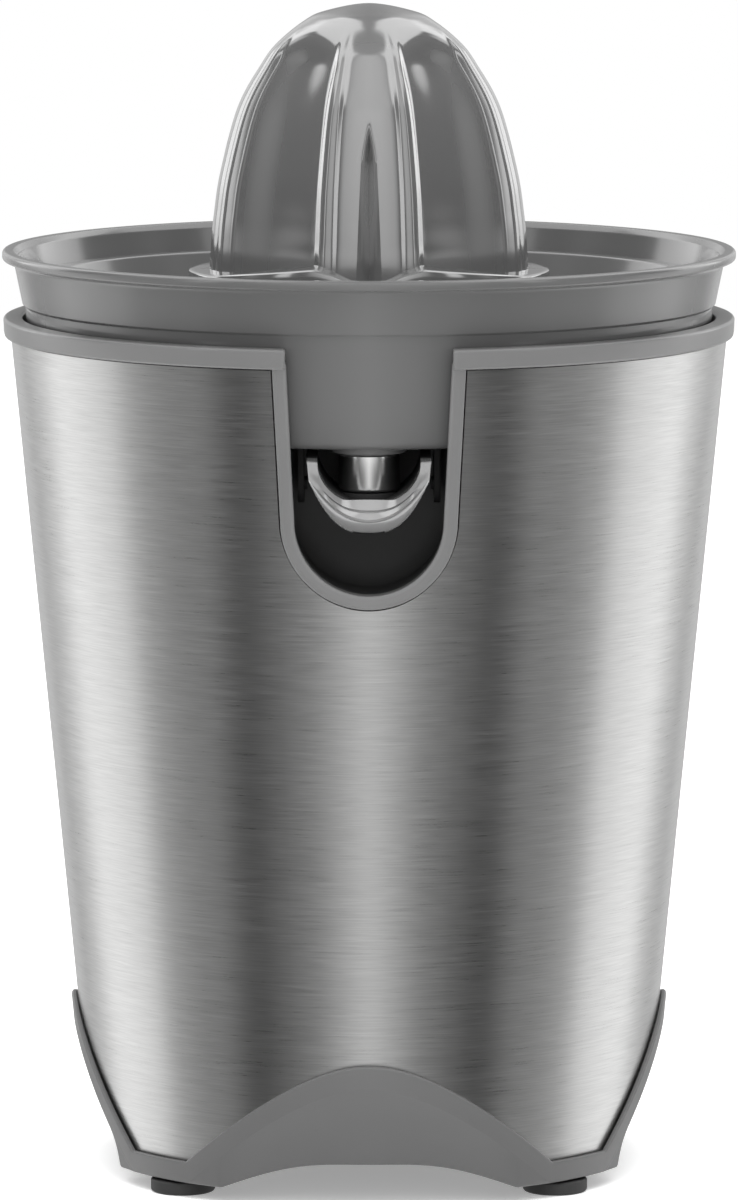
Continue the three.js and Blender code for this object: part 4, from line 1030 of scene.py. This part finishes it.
def splineThrough(points, steps):  # a smooth line through points, which meets the axis square at its far end
    far = points[-1]
    ends = [(2 * points[0][0] - points[1][0], 2 * points[0][1] - points[1][1])]
    padded = ends + points + [(-points[-2][0], points[-2][1])]
    line = []
    for k in range(1, len(padded) - 2):
        p0, p1, p2, p3 = padded[k - 1:k + 3]
        for step in range(steps):
            t = step / steps
            line.append(tuple(
                0.5 * (2 * b + (c - a) * t + (2 * a - 5 * b + 4 * c - d) * t * t + (3 * b - a - 3 * c + d) * t ** 3)
                for a, b, c, d in zip(p0, p1, p2, p3)))
    return line + [far]


def fromCluster(azimuth):  # degrees from the middle of the nearest cluster of ribs
    return abs((azimuth + 45) % 90 - 45)


def coneHollow(azimuth, up):  # depth below the line of the middle crests
    size = coneSize
    off = fromCluster(azimuth)
    ribs = size["ribs"]
    edge, edgeDepth = ribs[-1]
    if off > edge:
        share = (off - edge) / (45 - edge)
        return edgeDepth + (size["flank"] - edgeDepth) * sin(share * pi / 2)
    if off >= ribs[0][0]:
        return between(ribs, off)
    grooveEnd = size["grooveTop"] - off * 0.02  # the groove ends in a point
    return between(size["grooveAt"], off) * smooth(grooveEnd, grooveEnd - 0.14, up)


def crestShift(azimuth, up):  # the middle pair of crests draws together towards the tip
    off = fromCluster(azimuth)
    inner, outer = coneSize["ribs"][0][0], coneSize["ribs"][1][0]
    if off >= outer:
        return 0
    closed = inner * (1 - coneSize["closing"] * min(up / 0.9, 1))
    if off <= inner:
        drawn = off * closed / inner
    else:
        drawn = mix(closed, outer, (off - inner) / (outer - inner))
    return (drawn - off) * (1 if (azimuth + 45) % 90 > 45 else -1)


def coneRamp(azimuth):  # how far the flange rises, on each side of the front and back
    size = coneSize
    off = min(azimuth % 180, 180 - azimuth % 180)
    if off < size["rampAt"]:
        return size["ramp"] * smooth(4, size["rampAt"], off) ** 0.8
    return size["ramp"] * (1 - clamp((off - size["rampAt"]) / (size["rampEnd"] - size["rampAt"])))


def makeCone():
    size = coneSize
    base = size["under"] + size["flange"]
    tall = size["top"] - base
    spine = [(size["radius"] * wide, base + up * tall) for up, wide in [(0, 1)] + size["sides"]]
    line = splineThrough(spine + [(0, size["top"])], 11)
    lines = [0, 1.2, 2.4] + [at for at, deep in size["grooveAt"][1:-1]]  # columns of the mesh, on the crests
    for (a, p), (b, q) in zip(size["ribs"], size["ribs"][1:]):
        lines += [mix(a, b, k / 4) for k in range(4)]
    lines.append(size["ribs"][-1][0])
    turns = sorted(set(lines + [-at for at in lines]))
    turns += [mix(lines[-1], 90 - lines[-1], k / 28) for k in range(1, 28)]
    turns = sorted((t + quarter) % 360 for t in turns for quarter in (0, 90, 180, 270))

    def profileAt(azimuth):
        rise = coneRamp(azimuth)
        edge = mix(size["waist"], size["side"], abs(sin(radians(azimuth))) ** 1.5)
        under = size["under"]
        foot = [
            (0, under), (edge - 0.5, under), (edge - 0.12, under + 0.12), (edge, under + 0.5),
            (edge, base - 0.9 + rise * 0.8), (edge - 0.12, base - 0.5 + rise * 0.82),
        ]
        toe = size["radius"] - coneHollow(azimuth, 0)
        for k in range(4):
            height = base - 0.25 + rise * 0.85 + 0.25 * k / 4 + 0.15 * rise * k / 4
            foot.append((mix(edge - 0.5, toe, k / 4), height))
        side = []
        for r, z in line:
            up = (z - base) / tall
            hollow = coneHollow(azimuth, up)
            fade = sqrt(r / size["radius"]) * (1 - smooth(size["fadeFrom"], size["fadeTo"], up))
            lift = rise * (1 - smooth(0, 0.16, up))
            side.append((max(0, r - hollow * fade), z + lift, crestShift(azimuth, up)))
        return foot + side

    plastic = finishes["cone_plastic"]
    cone = sweptPiece("juicingCone", profileAt, turns, plastic, sharp=40)
    boss, inner, shaftTop = size["boss"], size["hollow"], size["shaftTop"]
    cavity = turnedPiece("coneCavity", [
        (boss, 200), (inner, 200), (inner, base, 2.0), (inner * 0.82, mix(base, size["roof"], 0.6), 3.0),
        (inner * 0.6, shaftTop - 6, 3.0), (boss, shaftTop - 6, 1.5)], 96, plastic)
    radius, roof = size["chimney"], size["chimneyTop"]
    room = turnedPiece("chimneyRoom", [(0, 199), (radius, 199), (radius, roof), (0, roof)], 96, plastic)
    hexagon = circle(0, 0, size["hexagon"] / 2 / cos(radians(30)), 6)
    dressed(cone, cavity, room, postPiece("hexSocket", hexagon, 198, shaftTop + 0.3, plastic))
    return hand(cone, "cone", "cone_plastic", "juicing_cone")


makeBowl()
makeNozzle()
makeSpout()
makeSpoutSeal()
makeStrainer()
makeCone()
print("bowl, spout, strainer and cone made")


insideFinishes = {
    "black_plastic": ("deck", "gearbox_cover", "motor_bracket_lower", "motor_bracket_upper", "cooling_fan",
                      "switch_body", "bottom_cover"),
    "white_plastic": ("compound_gear", "output_gear", "thrust_cup", "switch_button"),
    "dark_steel": ("stator_stack", "rotor"),
    "copper": ("winding_lower", "winding_upper"),
    "bronze": ("output_bush_lower", "output_bush_upper"),
    "bright_metal": ("drive_shaft", "motor_shaft", "idler_pin"),
}
dressedNodes = {node: finish for finish, nodes in insideFinishes.items() for node in nodes}
for nodeName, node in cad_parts.items():
    node.data.materials.clear()
    node.data.materials.append(finishes[dressedNodes.get(nodeName, "plated_steel")])
print("inside parts finished:", len(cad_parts))


# lengths are in metres here, and the lens in millimetres
stageSize = dict(floor=4.0, level=0.93, glow=0.3, distance=2.0, cameraHeight=0.3886, targetHeight=0.1316,
                 lens=259.6)


def makeFloor():
    half = stageSize["floor"] / 2
    steps = 24
    points = [(mix(-half, half, i / steps) / mm, mix(-half, half, j / steps) / mm, 0)
              for i in range(steps + 1) for j in range(steps + 1)]

    def build(start):
        cloud = noise(start, place(start), 3.0, 2.0)
        colour = colourMix(start, cloud, grey(stageSize["level"] * 0.995), grey(stageSize["level"]))
        return start.make("ShaderNodeBsdfPrincipled", {}, {
            "Base Color": colour, "Roughness": 0.9, "Specular IOR Level": 0.1,
            "Emission Color": (1, 1, 1, 1), "Emission Strength": stageSize["glow"]})

    faces = gridFaces(steps + 1, steps + 1, False, False)
    floor = newPiece("paleFloor", points, faces, newMaterial("paleFloor", build))
    if floor.data.polygons[0].normal.z < 0:
        floor.data.flip_normals()
    floor.visible_glossy = False


def makeCamera():
    view = bpy.data.objects.new("camera", bpy.data.cameras.new("camera"))
    scene.collection.objects.link(view)
    view.location = (0, -stageSize["distance"], stageSize["cameraHeight"])
    aim = Vector((0, 0, stageSize["targetHeight"])) - view.location
    view.rotation_euler = aim.to_track_quat("-Z", "Y").to_euler()
    view.data.lens = stageSize["lens"]
    view.data.clip_end = 50
    scene.camera = view


studioLight = dict(  # each list goes from the front round to the back: degrees, and brightness there
    low=[(0, 0.85), (8, 0.55), (20, 0.22), (34, 0.12), (44, 0.03), (52, 0.03), (62, 0.24), (74, 0.36),
         (86, 0.52), (94, 1.1), (112, 1.35), (122, 1.3), (133, 0.72), (146, 0.48), (160, 0.7), (180, 0.5)],
    middle=[(0, 1.15), (16, 1.1), (30, 0.75), (40, 0.14), (48, 0.12), (50, 1.7), (58, 1.7), (61, 0.10),
            (70, 0.14), (80, 0.42), (89, 0.14), (112, 0.12), (116, 2.3), (140, 2.3), (146, 0.8), (168, 0.8),
            (176, 0.35), (180, 0.3)],
    upper=[(0, 1.2), (16, 1.15), (30, 0.7), (42, 0.14), (48, 0.12), (50, 1.6), (58, 1.6), (61, 0.10),
           (72, 0.14), (82, 0.35), (92, 0.12), (124, 0.12), (128, 2.0), (152, 2.0), (158, 0.8), (168, 0.7),
           (176, 0.35), (180, 0.3)],
    high=[(0, 1.1), (24, 1.0), (38, 0.5), (44, 1.7), (164, 1.7), (170, 0.35), (180, 0.3)],
    zenith=[(0, 0.4), (180, 0.3)],
    # each band takes over from the one before it as the direction rises: slope and offset of its share
    joins=[("middle", 6.0, 0.55), ("upper", 4.0, -1.4), ("high", 26.0, -17.4), ("zenith", 50.0, -48.0)],
    strength=1.0, key=22.0,
)


def makeSky():  # upright bands of light and dark round the object, the same on its left and right
    world = bpy.data.worlds.new("studio")
    world.use_nodes = True
    world.node_tree.nodes.clear()
    start = Wire(world.node_tree)
    direction = start.make("ShaderNodeTexCoord", out=0)
    x, y, z = direction.part("X"), direction.part("Y"), direction.part("Z")
    turn = (start.math("ARCTAN2", abs(x), 0.0 - y) / pi).clamped()  # 0 at the front and 1 behind

    def band(name):
        return turn.ramp(*[(angle / 180, level) for angle, level in studioLight[name]])

    lit = band("low")
    for name, slope, offset in studioLight["joins"]:
        lit = start.blend((z * slope + offset).clamped(), lit, band(name))
    seen = start.make("ShaderNodeLightPath", out=0)
    glow = start.make("ShaderNodeBackground", {}, {"Color": lit, "Strength": studioLight["strength"]})
    white = start.make("ShaderNodeBackground", {}, {"Color": (1, 1, 1, 1), "Strength": 1.0})
    mixed = start.make("ShaderNodeMixShader", {}, {0: seen, 1: glow, 2: white})
    start.make("ShaderNodeOutputWorld", {}, {"Surface": mixed})
    scene.world = world


def softBox(name, spot, aim, width, height, power):
    light = bpy.data.lights.new(name, "AREA")
    light.shape, light.size, light.size_y, light.energy = "RECTANGLE", width, height, power
    lamp = bpy.data.objects.new(name, light)
    scene.collection.objects.link(lamp)
    lamp.location = spot
    lamp.rotation_euler = (Vector(aim) - Vector(spot)).to_track_quat("-Z", "Y").to_euler()
    lamp.visible_camera = lamp.visible_glossy = False


makeFloor()
makeCamera()
makeSky()
softBox("overhead", (0, -0.2, 1.6), (0, 0, 0.1), 1.6, 1.6, studioLight["key"])
scene.view_settings.view_transform = "Standard"
print("floor, camera and light set")
